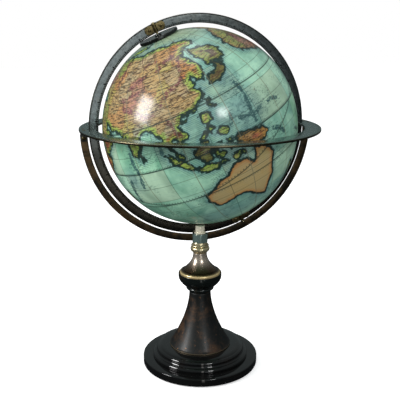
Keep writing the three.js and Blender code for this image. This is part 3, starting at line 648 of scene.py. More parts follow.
# Provinces: longitude and latitude of the middle, and the tint of the land in it.
PROVINCES = [
    (68, 62, OCHRE), (92, 63, TAN), (112, 62, ORANGE), (130, 63, RUST), (146, 60, ORANGE),
    (58, 54, ORANGE), (76, 54, TAN), (94, 55, OCHRE), (112, 53, YELLOW), (126, 52, ORANGE),
    (86, 46, ROSE), (70, 45, TAN), (100, 47, OCHRE), (115, 45, TAN), (128, 45, RUST), (132, 39, YELLOW),
    (60, 40, OCHRE), (78, 38, ROSE), (92, 38, ORANGE), (104, 38, YELLOW), (117, 36, TAN),
    (66, 32, ORANGE), (84, 30, OCHRE), (99, 29, TAN), (110, 29, OCHRE), (120, 28, OCHRE),
    (74, 25, YELLOW), (86, 24, GREY), (97, 22, OCHRE), (107, 23, TAN), (102, 18, GREY), (104, 14, RED),
    (108, 13, YELLOW), (76, 15, OLIVE), (79, 12, YELLOW), (100, 5, OLIVE), (55, 30, ORANGE),
    (46, 25, YELLOW), (47, 18, RED), (45, 35, GREEN), (34, 39, OCHRE), (48, 48, YELLOW), (36, 56, ROSE),
    (24, 50, YELLOW), (10, 50, GREEN), (-3, 40, ORANGE), (15, 64, OCHRE), (47, 62, GREEN),
    (143, 50, OLIVE), (151, 46, UMBER), (155, 50, GREEN), (140, 34, UMBER), (148, 38, UMBER),
    (80, 75, GREEN), (122, 16, YELLOW), (127, 7, GREEN), (112, 2, UMBER), (115, -2, OLIVE),
    (100, 0, YELLOW), (110, -7, OLIVE), (138, -2, ORANGE), (147, -4, RED), (110, -29, TAN),
    (122, -25, OCHRE), (134, -24, TAN), (143, -22, OCHRE), (140, -36, TAN), (130, -14, RUST),
    (145, -13, YELLOW), (2, 28, YELLOW), (20, 24, TAN), (28, 12, ROSE), (44, 8, RED), (5, 12, GREEN),
    (-10, 12, OCHRE), (20, 2, YELLOW), (35, -2, GREEN), (22, -12, OCHRE), (34, -14, ROSE),
    (24, -27, YELLOW), (47, -19, ROSE), (180, 48, GREEN), (192, 42, ROSE), (197, 35, RED),
    (206, 45, OLIVE), (215, 38, RUST), (222, 52, YELLOW), (236, 42, ROSE), (240, 58, TAN),
    (256, 50, OCHRE), (258, 38, GREEN), (256, 26, YELLOW), (272, 40, ROSE), (283, 46, YELLOW),
    (278, 34, OCHRE), (268, 14, GREEN), (292, 4, YELLOW), (284, -6, ROSE), (300, -4, OLIVE),
    (314, -9, ORANGE), (294, -16, OCHRE), (306, -20, GREEN), (290, -30, ROSE), (300, -30, YELLOW),
    (290, -44, OCHRE), (172, -38, OLIVE), (-40, 68, GREY), (0, 53, ROSE),
]

RIVERS = [
    ((67, 66), (66, 58), (74, 53), (82, 50)), ((84, 68), (90, 58), (98, 52)),
    ((125, 67), (128, 60), (114, 54)), ((120, 33), (112, 31), (104, 29), (98, 34)),
    ((121, 38), (112, 36), (108, 40), (102, 36)), ((135, 46), (126, 48), (116, 50)),
    ((106, 11), (104, 17), (100, 23), (95, 31)), ((89, 23), (83, 26), (77, 30)),
    ((67, 25), (72, 31), (76, 35)), ((95, 17), (96, 24)), ((48, 46), (46, 54), (38, 57)),
    ((30, 45), (20, 46), (10, 48)), ((32, 31), (33, 20), (30, 8), (31, -4)),
    ((13, -6), (22, 1), (26, -9)), ((6, 5), (1, 14), (-8, 12)), ((269, 30), (270, 40), (264, 48)),
    ((312, 0), (298, -3), (286, -5)), ((301, -34), (303, -25), (306, -17)),
    ((240, 34), (228, 44), (215, 50)),
]
RIDGES = [
    ((124, 42), (117, 40), (110, 38), (105, 35), (101, 31)), ((72, 36), (80, 33), (88, 29), (97, 28)),
    ((58, 51), (61, 58), (60, 66)), ((76, 47), (84, 49), (92, 51)), ((104, 52), (112, 55), (120, 57)),
    ((122, 46), (124, 52), (130, 56)), ((102, 24), (104, 18), (107, 13)), ((70, 41), (78, 42), (86, 43)),
    ((93, 57), (99, 60), (105, 58)), ((188, 50), (196, 42), (206, 36)), ((240, 60), (246, 48), (254, 36)),
    ((284, 4), (282, -8), (291, -22), (289, -40)), ((-6, 31), (4, 35)), ((36, 8), (37, -4), (34, -14)),
]
# Blue wash laid over the open sea: longitude, latitude, half-width, half-height and strength.
WASHES = [(143, 12, 12, 15, 0.8), (146, 28, 8, 8, 0.6), (130, 14, 8, 8, 0.6), (124, 33, 6, 8, 0.7),
          (112, 14, 8, 7, 0.4), (66, -3, 6, 8, 0.7), (90, 13, 6, 5, 0.4), (128, -6, 14, 4, 0.4),
          (110, -46, 30, 9, 0.7), (166, 58, 12, 8, 0.5), (-30, 40, 26, 14, 0.6), (240, 10, 24, 10, 0.6),
          (10, -30, 14, 14, 0.5), (300, 30, 14, 8, 0.6), (150, -48, 20, 8, 0.5), (260, -30, 26, 12, 0.5)]
# Chains of islets, inked as rows of small dark marks.
ISLETS = [((147, 27), (148, 16), (147, 3)), ((139, 9), (146, 7), (153, 8)), ((133, 8), (135, 13)),
          ((160, 8), (168, 6)), ((93, 13), (93, 8)), ((72, 12), (73, 2), (71, -8)), ((63, -4), (57, -19)),
          ((156, -6), (164, -12)),
          ((205, 22), (199, 20)), ((212, -17), (222, -20)), ((298, 18), (299, 12)), ((182, 52), (171, 53)),
          ((-18, 28), (-14, 28)), ((-28, 39), (-25, 38)), ((179, -17), (184, -20))]


def on_globe(longitude, latitude):
    """Unit vectors, in the polar axes, of longitudes and latitudes in degrees."""
    turn, lift = np.radians(np.asarray(longitude, float) - FIRST_MERIDIAN), np.radians(latitude)
    return np.stack([np.cos(lift) * np.cos(turn), np.cos(lift) * np.sin(turn), np.sin(lift) + 0 * turn], -1)


def wandering(line, closed):
    """A point is added in the middle of each side of a line and moved off it by a tenth of its
    length, to one side or the other by a sine of the place."""
    at = np.array(line, float)
    after = np.roll(at, -1, 0) if closed else at[1:]
    start = at if closed else at[:-1]
    side = after - start
    shift = np.stack([-side[:, 1], side[:, 0]], 1) * 0.12 * np.sin(start.sum(1) * 7.3)[:, None]
    both = np.stack([start, (start + after) / 2 + shift], 1).reshape(-1, 2)
    return both if closed else np.concatenate([both, at[-1:]])


def away(points, line, closed):
    """Degrees from each point of the ball to the nearest point of a line drawn on it."""
    corners = on_globe(line[:, 0], line[:, 1])
    ends = np.roll(corners, -1, 0) if closed else corners[1:]
    nearest = np.full(len(points), 9.0)
    for start, end in zip(corners, ends):
        side = end - start
        share = np.clip((points - start) @ side / (side @ side), 0, 1)
        offset = points - start - share[:, None] * side
        nearest = np.minimum(nearest, np.einsum("ij,ij->i", offset, offset))
    return np.degrees(np.sqrt(nearest))


def inside(longitude, latitude, outline):
    """Whether points lie in an outline: an odd number of its sides cross the parallel east of them."""
    odd = np.zeros(len(longitude), bool)
    for start, end in zip(outline, np.roll(outline, -1, 0)):
        if start[1] == end[1]:
            continue
        across = (start[1] > latitude) != (end[1] > latitude)
        crossing = start[0] + (latitude - start[1]) * (end[0] - start[0]) / (end[1] - start[1])
        odd ^= across & (longitude < crossing)
    return odd


def survey(points):
    """What the map says at each point of the ball: degrees inside the coast, degrees from a
    border, a river and a ridge, the strength of the sea's blue wash, and the two tints."""
    latitude = np.degrees(np.arcsin(np.clip(points[:, 2], -1, 1)))
    longitude = np.degrees(np.arctan2(points[:, 1], points[:, 0])) + FIRST_MERIDIAN
    coast = np.full(len(points), -60.0)
    coast_tint = np.tile(np.array(LEAF), (len(points), 1))
    for tint, *outline in COASTS:
        shore = wandering(outline, True)
        distance = away(points, shore, True)
        within = np.zeros(len(points), bool)
        for turn in (-360, 0, 360):
            within |= inside(longitude + turn, latitude, shore)
        signed = np.where(within, distance, -distance)
        closer = signed > coast
        coast[closer] = signed[closer]
        coast_tint[closer] = tint
    middles = on_globe([p[0] for p in PROVINCES], [p[1] for p in PROVINCES])
    bent = points + 0.02 * np.sin(points[:, [1, 2, 0]] * 31) + 0.012 * np.sin(points[:, [2, 0, 1]] * 67)
    to_middle = np.degrees(np.sqrt(((bent[:, None] - middles[None]) ** 2).sum(2)))
    order = np.argsort(to_middle, 1)
    first = np.take_along_axis(to_middle, order[:, :1], 1)[:, 0]
    second = np.take_along_axis(to_middle, order[:, 1:2], 1)[:, 0]
    land_tint = np.array([p[2] for p in PROVINCES])[order[:, 0]]
    stream = np.min([away(points, wandering(line, False), False) for line in RIVERS], 0)
    ridge = np.min([away(points, wandering(line, False), False) for line in RIDGES], 0)
    islets = np.min([away(points, wandering(line, False), False) for line in ISLETS], 0)
    wash = np.zeros(len(points))
    for east, north, wide, high, strength in WASHES:
        across = (longitude - east + 180) % 360 - 180
        reach = (across * np.cos(np.radians(latitude)) / wide) ** 2 + ((latitude - north) / high) ** 2
        wash = np.maximum(wash, strength * np.exp(-(reach**1.5)))
    numbers = {"coast": coast, "border": second - first, "stream": stream, "ridge": ridge, "wash": wash,
               "islets": islets}
    return numbers, {"land_tint": land_tint, "coast_tint": coast_tint}


def map_finish():
    """Printed gores under varnish: washes of colour, inked coasts, hatching along the parallels,
    and the circles of the globe, drawn from longitude and latitude."""
    f = Finish("map_shell", Coat_Weight=0.7, Coat_Roughness=0.17, Specular_IOR_Level=0.2)
    a, b, h = (part / BALL_R for part in f.within(NORTH))
    latitude = h.call("ARCSINE") * DEGREES
    longitude = b.call("ARCTAN2", a) * DEGREES + FIRST_MERIDIAN
    shrink = (1 - h * h).call("MAXIMUM", 0.0004).call("SQRT")
    fine = f.noise(420, 4, 0.65)
    rough_edge = (f.noise(70, 4, 0.55) - 0.5) * 6.5 + (f.noise(230, 3, 0.6) - 0.5) * 2.6
    coast = f.attribute("coast") + rough_edge * f.rise(latitude, -14, -9, 0.45, 1.0)
    land = f.rise(coast, -0.12, 0.12)

    def streaks(across, up, detail=3, rough=0.5):
        """Noise drawn out along the parallels."""
        return f.noise(1.0, detail, rough, at=f.joined(a * across, b * across, h * up))

    along, dashes = streaks(9, 90, 4, 0.6), streaks(36, 120, 3, 0.7)
    cloud = f.noise(16, 5, 0.6, warp=0.4)

    # Sea: green ground, a slightly different tint on each gore, blue washes and coastal hatching.
    sea = f.mix(f.rise(cloud, 0.32, 0.66), (0.105, 0.27, 0.2), (0.36, 0.62, 0.45))
    sea = f.mix(f.rise(along, 0.45, 0.75) * 0.35, sea, (0.16, 0.36, 0.33))
    gore = f.add("ShaderNodeTexWhiteNoise", {"noise_dimensions": "2D"},
                 {"Vector": f.joined((longitude / 30).call("FLOOR"), (latitude / 20).call("FLOOR"), 0.0)})
    sea = f.mix(f.rise(gore, 0.45, 0.9) * 0.42, sea, (0.36, 0.42, 0.28))
    sea = f.mix(f.rise(gore, 0.3, 0.0) * 0.36, sea, (0.22, 0.52, 0.25))
    blue = f.attribute("wash") * f.rise(cloud * 0.5 + fine * 0.5, 0.3, 0.6, 0.55, 1.0)
    sea = f.mix(blue * 0.85, sea, (0.085, 0.2, 0.215))
    stains = f.rise(f.noise(62, 5, 0.65, warp=0.6), 0.5, 0.6) * f.attribute("wash")
    sea = f.mix(stains * 0.6, sea, (0.03, 0.085, 0.1))
    sea = f.mix(f.rise(latitude, 60, 76) * 0.8, sea, (0.19, 0.25, 0.15))
    near = f.rise(coast, -3.2, -0.3)
    sea = f.mix(near * 0.5, sea, f.mix(fine, (0.04, 0.14, 0.18), (0.16, 0.33, 0.36)))
    hatch = f.ruled(latitude, 0.9, 0.2) * f.rise(coast + dashes * 3, -3.6, -1.2)
    scratches = f.rise(dashes, 0.55, 0.6) * f.rise(f.noise(24, 2), 0.52, 0.6)
    notes = f.ruled(latitude, 1.9, 0.14) * f.rise(f.attribute("islets") + rough_edge, 5.0, 3.0)
    notes = notes * f.rise(streaks(40, 60, 2), 0.46, 0.54)
    specks = f.rise(f.attribute("islets") + rough_edge * 0.5, 1.5, 0.8) * f.rise(dashes, 0.38, 0.46)
    sea = f.mix(largest(hatch * 0.6, scratches * 0.85, specks, notes * 0.75), sea, (0.03, 0.085, 0.085))

    # Land: tinted provinces, washed coast, rivers, ridges and close inked flecks.
    province = f.attribute("land_tint", "Color")
    ground = f.mix(f.rise(cloud, 0.35, 0.7) * 0.4, province, (0.3, 0.235, 0.11))
    ground = f.mix(f.rise(along, 0.5, 0.62) * 0.5, ground, (0.37, 0.21, 0.07))
    ground = f.mix(f.rise(along, 0.46, 0.36) * 0.5, ground, (0.31, 0.26, 0.13))
    border = f.attribute("border") + rough_edge * 0.4
    ground = f.mix(f.rise(border, 1.8, 0.2) * 0.4, ground, province, "MULTIPLY")
    edge_tint = f.attribute("coast_tint", "Color")
    ground = f.mix(f.rise(coast + fine * 1.4 - 0.7, 3.4, 0.8) * 0.9, ground,
                   f.mix(fine * 0.5, edge_tint, (0.3, 0.4, 0.08)))
    ridge = f.rise(f.attribute("ridge") + rough_edge * 0.9, 1.5, 0.7) * f.rise(dashes, 0.42, 0.5)
    ground = f.mix(ridge * 0.9, ground, f.mix(fine, (0.03, 0.008, 0.016), (0.22, 0.04, 0.075)))
    strokes = f.rise(streaks(13, 105, 3, 0.6), 0.54, 0.58) * f.rise(fine, 0.25, 0.4)
    hills = f.rise(f.cells(210), 0.34, 0.2) * f.rise(f.noise(34, 3), 0.5, 0.6)
    flecks = f.rise(dashes, 0.525, 0.575) * f.rise(f.noise(30, 3), 0.36, 0.5)
    rows = f.ruled(latitude, 1.7, 0.13) * f.rise(streaks(22, 60), 0.5, 0.56)
    river = f.line(f.attribute("stream") + rough_edge * 0.12, 0.26)
    split = f.line(border, 0.22) * f.rise(fine, 0.3, 0.5)
    inked = largest(flecks * 0.6, strokes * 0.95, rows * 0.8, hills * 0.9, split * 0.5)
    ground = f.mix(inked, ground, (0.05, 0.028, 0.015))
    ground = f.mix(river * 0.8, ground, (0.07, 0.03, 0.025))
    quiet = f.rise(latitude, -9.0, -7.0) + f.rise((longitude - 250).call("ABSOLUTE"), 70, 60)
    plain = f.mix(f.rise(cloud, 0.4, 0.65) * 0.5, f.mix(0.7, province, (0.36, 0.27, 0.1)), (0.31, 0.28, 0.15))
    plain = f.mix(f.rise(coast + fine * 0.8, 3.6, 0.3) * 0.8, plain, edge_tint)
    plain_rows = f.ruled(latitude, 1.3, 0.16) * f.rise(along, 0.42, 0.5) * 0.22
    plain = f.mix(plain_rows, plain, (0.12, 0.07, 0.04))
    ground = f.mix(quiet.call("MINIMUM", 1.0), plain, ground)

    ink = f.rise((coast + 0.12).call("ABSOLUTE"), 1.1, 0.45) * 0.96
    colour = f.mix(land, sea, ground)
    colour = f.mix(ink, colour, (0.006, 0.022, 0.018))

    # Circles: meridians and parallels, the equator, tropics, polar circles and the sun's path.
    faint = largest(f.every(longitude, 15, 0.2, squeeze=shrink), f.every(latitude, 10, 0.17))
    equator = f.every(longitude, 1, 0.2) * f.line(latitude - 0.75, 0.36, 0.2)
    equator = largest(f.line(latitude, 0.4, 0.3), equator)
    tropics = f.line(latitude.call("ABSOLUTE") - 23.5, 0.34, 0.4)
    beside = f.line(latitude.call("ABSOLUTE") - 24.4, 0.14, 0.4) * f.every(longitude, 2, 0.6)
    polar = f.line(latitude.call("ABSOLUTE") - 66.5, 0.24, 0.4)
    sun = latitude - ((longitude - 182) / DEGREES).call("SINE") * 23.5
    path_of_sun = largest(f.line(sun, 0.38, 0.3), f.line(sun - 0.8, 0.3, 0.2) * f.every(longitude, 2, 0.35))
    lines = largest(faint * 0.55, equator * 0.9, tropics * 0.85, beside * 0.7, polar * 0.7, path_of_sun * 0.8)
    lines = lines * f.rise(fine, 0.2, 0.5, 0.6, 1.0)
    colour = f.mix(lines, colour, (0.012, 0.028, 0.024))

    # Age: brown in the joints of the gores and round the poles, small foxing.
    joints = f.every(longitude + 15, 30, 0.3, squeeze=shrink)
    colour = f.mix(joints * 0.3, colour, (0.22, 0.2, 0.12))
    colour = f.mix(f.rise(f.noise(48, 5, 0.7), 0.62, 0.78) * 0.35, colour, (0.35, 0.27, 0.13))
    roughness = 0.4 + fine * 0.16 + f.rise(cloud, 0.5, 0.7) * 0.08
    relief = fine * 0.5 - joints * 0.6 - ink * 0.3
    return f.paint(colour, roughness, bump=relief, depth=0.00012)


def map_ball(material):
    """A ball on a grid of longitude and latitude, with what the map says stored at its points."""
    columns, rows = 392, 246
    latitude = np.degrees(np.linspace(-math.pi / 2, math.pi / 2, rows + 2)[1:-1])
    longitude = np.linspace(0, 360, columns, endpoint=False)
    grid = on_globe(longitude[None, :], latitude[:, None]) * np.ones((rows, columns, 1))
    poles = [np.array([0.0, 0.0, end]) for end in (-1, 1)]
    points, quads, triangles = lidded(grid, False, poles)
    shell = place(points * BALL_R, NORTH), quads, triangles
    ball = piece("map_ball", [shell], "ball", material,
                 ("north_hemisphere", "south_hemisphere"), 80)
    numbers, tints = survey(points)
    for name, values in numbers.items():
        ball.data.attributes.new(name, "FLOAT", "POINT").data.foreach_set("value", values.astype(np.float32))
    for name, values in tints.items():
        colours = np.concatenate([values, np.ones((len(values), 1))], 1).astype(np.float32)
        ball.data.attributes.new(name, "FLOAT_COLOR", "POINT").data.foreach_set("color", colours.ravel())


# ---- Stand ---------------------------------------------------------------------------------------

FELT, LACQUER = felt(), black_lacquer()
BLACK, BOWL = black_bronze("black_bronze"), black_bronze("black_bronze_bowl", 0.4)
# The socket is the same blackened metal made sixteen times lighter, a lit copy that paints its bright
# highlight: painted light.
SOCKET = black_bronze("black_bronze_socket", 0.12, 16)
PEDESTAL, TRUMPET, CRADLE = mottled_bronze(), brown_bronze(0.1656), brown_bronze()
COLLAR, POST = polished_brass(pale=0.15), polished_brass("polished_brass_post", pale=0.65)
PIVOT = polished_brass("polished_brass_pivots", NORTH, 0.1)
OLD_BRASS, STEEL, WOOD, BOARD = old_brass(), steel(), plain_wood(), pasteboard()
DARK_BRONZE, MERIDIAN, HORIZON, HOUR = plain_dark_bronze(), meridian_finish(), horizon_finish(), hour_finish()


def mm(profile):
    """Millimetres in metres."""
    return np.array(profile, float) * MM


def flare(foot, top, rise, run, power):
    """Radius from height: the top radius plus the run times the share of height left to a power."""
    height = np.linspace(foot, rise, 37)
    return np.stack([top + run * ((rise - height) / (rise - foot)) ** power, height], 1)


# Profiles of radius and height in millimetres, from the pad up. The plinth has a rim, two beads and
# a tapered top with a sunk middle.
pad = eased([(9, 0.05), (95.2, 0.05), (95.2, 1.5), (9, 1.5)], 0.4, True)
plinth = path(eased([(8, 1.8), (101.2, 1.8), (101.2, 15.3), (84, 15.3)], 1.7)[:-1], (83.0, 15.4),
              arc(79.6, 18.6, 4.4, -40, 95, 14), (78.0, 23.6), (77.0, 25.4),
              arc(73.6, 28.9, 3.8, -35, 100, 14), (72.0, 33.3), (70.4, 34.2), (66, 34.7), (54.5, 34.7),
              (16.2, 34.7), (16, 34.4), (16, 15.9), (4.4, 15.9), (4.4, 2.2))
pedestal = path((4.4, 35.0), eased([(30, 35.0), (53.5, 35.0), (53.5, 37.0), (50, 37.9)], 0.5)[1:-1],
                flare(37.6, 18.8, 133.0, 33.4, 1.75)[:-1], (18.8, 132.7), (18.5, 133.0), (4.4, 133.0))
# The bowl's side: radius 37.6 less 15 times the square of the share of height left.
up_share = np.linspace(0, 1, 19)
bowl_side = np.stack([37.6 - 15.0 * (1 - up_share) ** 2, 142.0 + 19.9 * up_share], 1)
bowl_rim = eased([(37.6, 162), (37.6, 167.3), (35.8, 167.3), (35.8, 165.3), (31.8, 165.3)], 0.55)
bowl = path((4.4, 133.3), (18.4, 133.3), (18.8, 133.7), (19.4, 137.6), arc(21.4, 140.0, 2.8, -60, 45, 12),
            (22.7, 142.1), bowl_side[1:], bowl_rim[1:], (20.6, 144.8), (4.4, 144.8))
trumpet = path((8.4, 165.65), (35.0, 165.65), (35.2, 165.9), arc(32.6, 168.9, 2.6, 0, 80, 10), (32.5, 171.5),
               flare(171.6, 11.9, 203.7, 20.5, 2.2)[1:-1], (11.9, 203.5), (11.7, 203.7), (8.4, 203.7))
bead = np.radians(np.linspace(-80, 75, 25))
collar = path((8.5, 204.05), (12.1, 204.05), (12.3, 204.3),
              np.stack([12.3 + 4.4 * np.cos(bead), 211.1 + 5 * np.sin(bead)], 1),
              arc(14.05, 217.45, 1.35, -40, 50, 8), (13.0, 219.2), (12.8, 220.15), (12.8, 223.0),
              (12.6, 223.2), (8.5, 223.2))
for name, profile, count, slot, material, node, crisp in (
        ("felt_disc", pad, 160, "felt", FELT, "felt_pad", 38),
        ("turned_plinth", plinth, 240, "black_lacquer", LACQUER, "base_plinth", 50),
        ("turned_pedestal", pedestal, 200, "mottled_bronze", PEDESTAL, "pedestal_trumpet", 50),
        ("turned_bowl", bowl, 200, "black_bronze", BOWL, "knop_bowl", 50),
        ("turned_upper_trumpet", trumpet, 180, "brown_bronze", TRUMPET, "upper_trumpet", 50),
        ("turned_collar", collar, 140, "polished_brass", COLLAR, "neck_collar", 50)):
    piece(name, [turned(mm(profile), count=count)], "stand", material, (node,), crisp)


def band_section(inner, outer, low, high, edge):
    """A rectangle of radius and height with eased corners."""
    return eased([(inner, low), (outer, low), (outer, high), (inner, high)], edge, True)


def split_ring(section, plane, side):
    """Half of a ring beyond the slot: its section swept from one end of the slot to the other, which
    are where a circle of each radius meets a plane along the axis."""
    def back_end(radius):
        return np.pi - np.arcsin(plane / radius)

    if side > 0:
        return swept(section, lambda radius: np.arcsin(plane / radius), back_end, UPRIGHT, 60)
    return swept(section, back_end, lambda radius: 2 * np.pi + np.arcsin(plane / radius), UPRIGHT, 60)


# The socket: a ring below and two cheeks that hold the arc, each a C in plan.
socket_base = turned(mm(band_section(8.3, 13.2, 223.5, 224.7, 0.35)), count=120)
socket_wall = mm(band_section(8.3, 13.2, 224.5, 238.4, 0.6))
piece("slotted_socket",
      [socket_base, split_ring(socket_wall, SLOT_BACK, 1), split_ring(socket_wall, SLOT_FRONT, -1)],
      "stand", SOCKET, ("arc_socket",))
# The post: a rod in the column, and above it two halves with the slot between them.
rod = mm(path((0.5, 213.3), (7.6, 213.3), (7.95, 213.7), (7.95, 224.6), (0.5, 224.6)))
upper = mm(path((7.95, 224.4), (7.95, 238.6),
                eased([(7.95, 238.7), (10, 238.7), (10, 240.7), (7.95, 240.7)], 0.5)[1:-1],
                (7.95, 240.8), (7.95, 251.9), (7.35, 252.6)))
piece("slotted_post",
      [turned(rod, count=80), cheek(upper, SLOT_BACK, 1, UPRIGHT), cheek(upper, SLOT_FRONT, -1, UPRIGHT)],
      "stand", POST, ("meridian_post",))


def screw(origin, up, radius, dome, depth, slot_width, turn, shank, length):
    """A domed head with a turned slot, on a shank. Head: height = dome times root of one less the
    radius share squared. The slot is a step down in the same surface, a fixed distance each side of
    a line, and never deeper than 0.8 mm."""
    up = np.array(up, float)
    along = np.cross(up, [0.37, 0.61, 0.7])
    along /= np.linalg.norm(along)
    beside = np.cross(up, along)
    where = axes(origin, along * math.cos(turn) + beside * math.sin(turn),
                 beside * math.cos(turn) - along * math.sin(turn), up)
    share = np.sin(np.linspace(0.03, 1, 22) * np.pi / 2)[::-1]
    angle = np.linspace(0, 2 * np.pi, 80, endpoint=False)
    x, y = share[:, None] * np.cos(angle), share[:, None] * np.sin(angle)
    height = dome * np.sqrt(np.maximum(1 - share[:, None] ** 2, 0)) + 0 * angle
    cut = np.clip((slot_width / radius - np.abs(y)) / 0.05, 0, 1) * (share[:, None] < 0.999)
    deep = min(dome + depth * 0.5, 0.8 * MM)
    rows = [np.stack([x * radius, y * radius, height - cut * deep], -1)[::-1]]
    for reach, low in ((radius, -depth), (shank, -depth), (shank, -depth - length)):
        rows.append(np.stack([reach * np.cos(angle), reach * np.sin(angle), low + 0 * angle], -1)[None])
    grid = np.concatenate(rows)
    points, quads, triangles = lidded(grid, False)
    return outward(place(points, where), quads, triangles)


# The slotted screw that pins the arc in its socket, and the domed rivets of the horizon's feet.
set_screw = screw(mm((0, 12.9, 231.55)), (0, 1, 0), 2.5 * MM, 0.0, 6.6 * MM, 0.5 * MM, 0.7, 2.3 * MM,
                  0.2 * MM)
piece("set_screw", [set_screw], "stand", STEEL, ("arc_set_screw",))
dome = arc(0, 1.804, 5.096, 48.2, 86, 10)
rivet = mm(path(dome[::-1] * (1, -1), (3.4, -5.3), (1.9, -5.25), (1.9, 5.25), (3.4, 5.3), dome))
for side, sign in (("left", -1), ("right", 1)):
    foot_x, foot_z = sign * (CRADLE_OUT + CRADLE_IN) / 2, box(f"foot_rivet_{side}")[0][2] + 3.4 * MM
    through = axes((foot_x, RING_MID, foot_z), (1, 0, 0), (0, 0, -1), (0, 1, 0))
    piece(f"domed_rivet_{side}", [turned(rivet, through, 48)], "stand", OLD_BRASS,
          (f"foot_rivet_{side}",))
    for number, y in ((1, -5.3), (2, 11.3)):
        head = screw((foot_x, y * MM, HORIZON_TOP), (0, 0, 1), 3.2 * MM, 0.35 * MM, 1.6 * MM, 0.42 * MM,
                     0.5 + number + sign, 1.6 * MM, 5.2 * MM)
        piece(f"slotted_screw_{side}_{number}", [head], "stand", OLD_BRASS,
              (f"horizon_screw_{side}_{number}",))

# The arc: a bar of nearly square section carried round the lower half, cut level at both ends.
ARC_LEVEL = 5.2 * MM  # how far its ends are below the ball's centre
bar = band_section(CRADLE_IN, CRADLE_OUT, -5.5 * MM, -0.5 * MM, 0.7 * MM)
half_circle = swept(bar, lambda radius: np.pi + np.arcsin(ARC_LEVEL / radius),
                    lambda radius: 2 * np.pi - np.arcsin(ARC_LEVEL / radius), FACING, 220)
piece("cradle_bar", [half_circle], "stand", CRADLE, ("cradle_arc",))

# ---- Horizon ring and its feet -------------------------------------------------------------------


def notched_ring(outer, inner, deep, low, high, edge):
    """A flat ring whose inner edge has a square notch at each side. One loop of points follows the
    inner edge and its notches, another the outer circle in the same directions, and a section with
    rounded corners joins them: inner point, plus a share of the way out, plus a small step out."""
    half = np.arcsin(SLOT_BACK / inner), np.arcsin(SLOT_FRONT / inner)
    right = np.linspace(half[0], np.pi - half[0], 180)
    left = np.linspace(np.pi - half[1], 2 * np.pi + half[1], 180)
    notch = np.array([(-deep, SLOT_BACK), (-deep, RING_MID), (-deep, SLOT_FRONT)])
    inside = np.concatenate([inner * np.stack([np.cos(right), np.sin(right)], 1), notch,
                             inner * np.stack([np.cos(left), np.sin(left)], 1), (notch * (-1, 1))[::-1]])
    ways = inside / np.linalg.norm(inside, axis=1, keepdims=True)
    corner = np.radians(np.arange(0, 91, 30))
    run, rise = edge * np.cos(corner), edge * np.sin(corner)
    share = np.repeat([1, 0, 0, 1], 4)
    step = np.concatenate([run - edge, edge - run[::-1], edge - run, run[::-1] - edge])
    height = np.concatenate([high - edge + rise, high - edge + rise[::-1],
                             low + edge - rise, low + edge - rise[::-1]])
    reach_out = share[:, None, None] * (ways * outer - inside)[None]
    flat = inside[None] + reach_out + step[:, None, None] * ways[None]
    grid = np.concatenate([flat, np.broadcast_to(height[:, None, None], (*flat.shape[:2], 1))], -1)
    return lidded(grid, True)


def slab(outline, low, high, edge, where):
    """A flat plate: a closed outline carried from a low to a high height, drawn in along its normals
    by a quarter round at both faces."""
    tangent = np.roll(outline, -1, 0) - np.roll(outline, 1, 0)
    normal = np.stack([tangent[:, 1], -tangent[:, 0]], 1)
    normal /= np.maximum(np.linalg.norm(normal, axis=1, keepdims=True), 1e-9)
    corner = np.radians(np.arange(0, 91, 22.5))
    draw_in = edge * np.concatenate([1 - np.cos(corner[::-1]), 1 - np.cos(corner)])
    height = np.concatenate([low + edge * (1 - np.sin(corner[::-1])), high - edge * (1 - np.sin(corner))])
    flat = outline[None] - draw_in[:, None, None] * normal[None]
    grid = np.concatenate([flat, np.broadcast_to(height[:, None, None], (*flat.shape[:2], 1))], -1)
    points, quads, triangles = lidded(grid, False)
    return outward(place(points, where), quads, triangles)


def rounded(x0, x1, y0, y1, radius):
    """A rectangle in millimetres with rounded corners."""
    return mm(eased([(x0, y0), (x1, y0), (x1, y1), (x0, y1)], radius, True, 5))


NOTCH_END = 185.5  # millimetres from the axis, where the feet begin
piece("horizon_band",
      [notched_ring(HORIZON_OUT, HORIZON_IN, NOTCH_END * MM, HORIZON_LOW, HORIZON_TOP, 0.75 * MM)],
      "stand", HORIZON, ("horizon_ring",), 50)
for side, sign in (("left", -1), ("right", 1)):
    low_x, high_x = sorted((sign * NOTCH_END, sign * 195.4))
    plate = slab(rounded(low_x, high_x, -9, 15, 1.6), 416.4 * MM, 420.1 * MM, 0.5 * MM, UPRIGHT)
    cheeks = [slab(rounded(low_x, high_x, 405.4, 417.5, 2.4), -back * MM, -front * MM, 0.4 * MM,
                   UPRIGHT_FROM_FRONT)
              for front, back in ((-2.3, 0.2), (5.8, 8.3))]
    piece(f"horizon_foot_{side}_plate", [plate, *cheeks], "stand", DARK_BRONZE,
          (f"horizon_foot_{side}",), 50)

# ---- Meridian ring, its bearings and the hour cap ------------------------------------------------

band = band_section(MERIDIAN_IN, MERIDIAN_OUT, -RING_BACK, -RING_FRONT, 0.5 * MM)
piece("meridian_band", [turned(band, FACING, 420)], "meridian", MERIDIAN,
      ("meridian_ring",), 50)

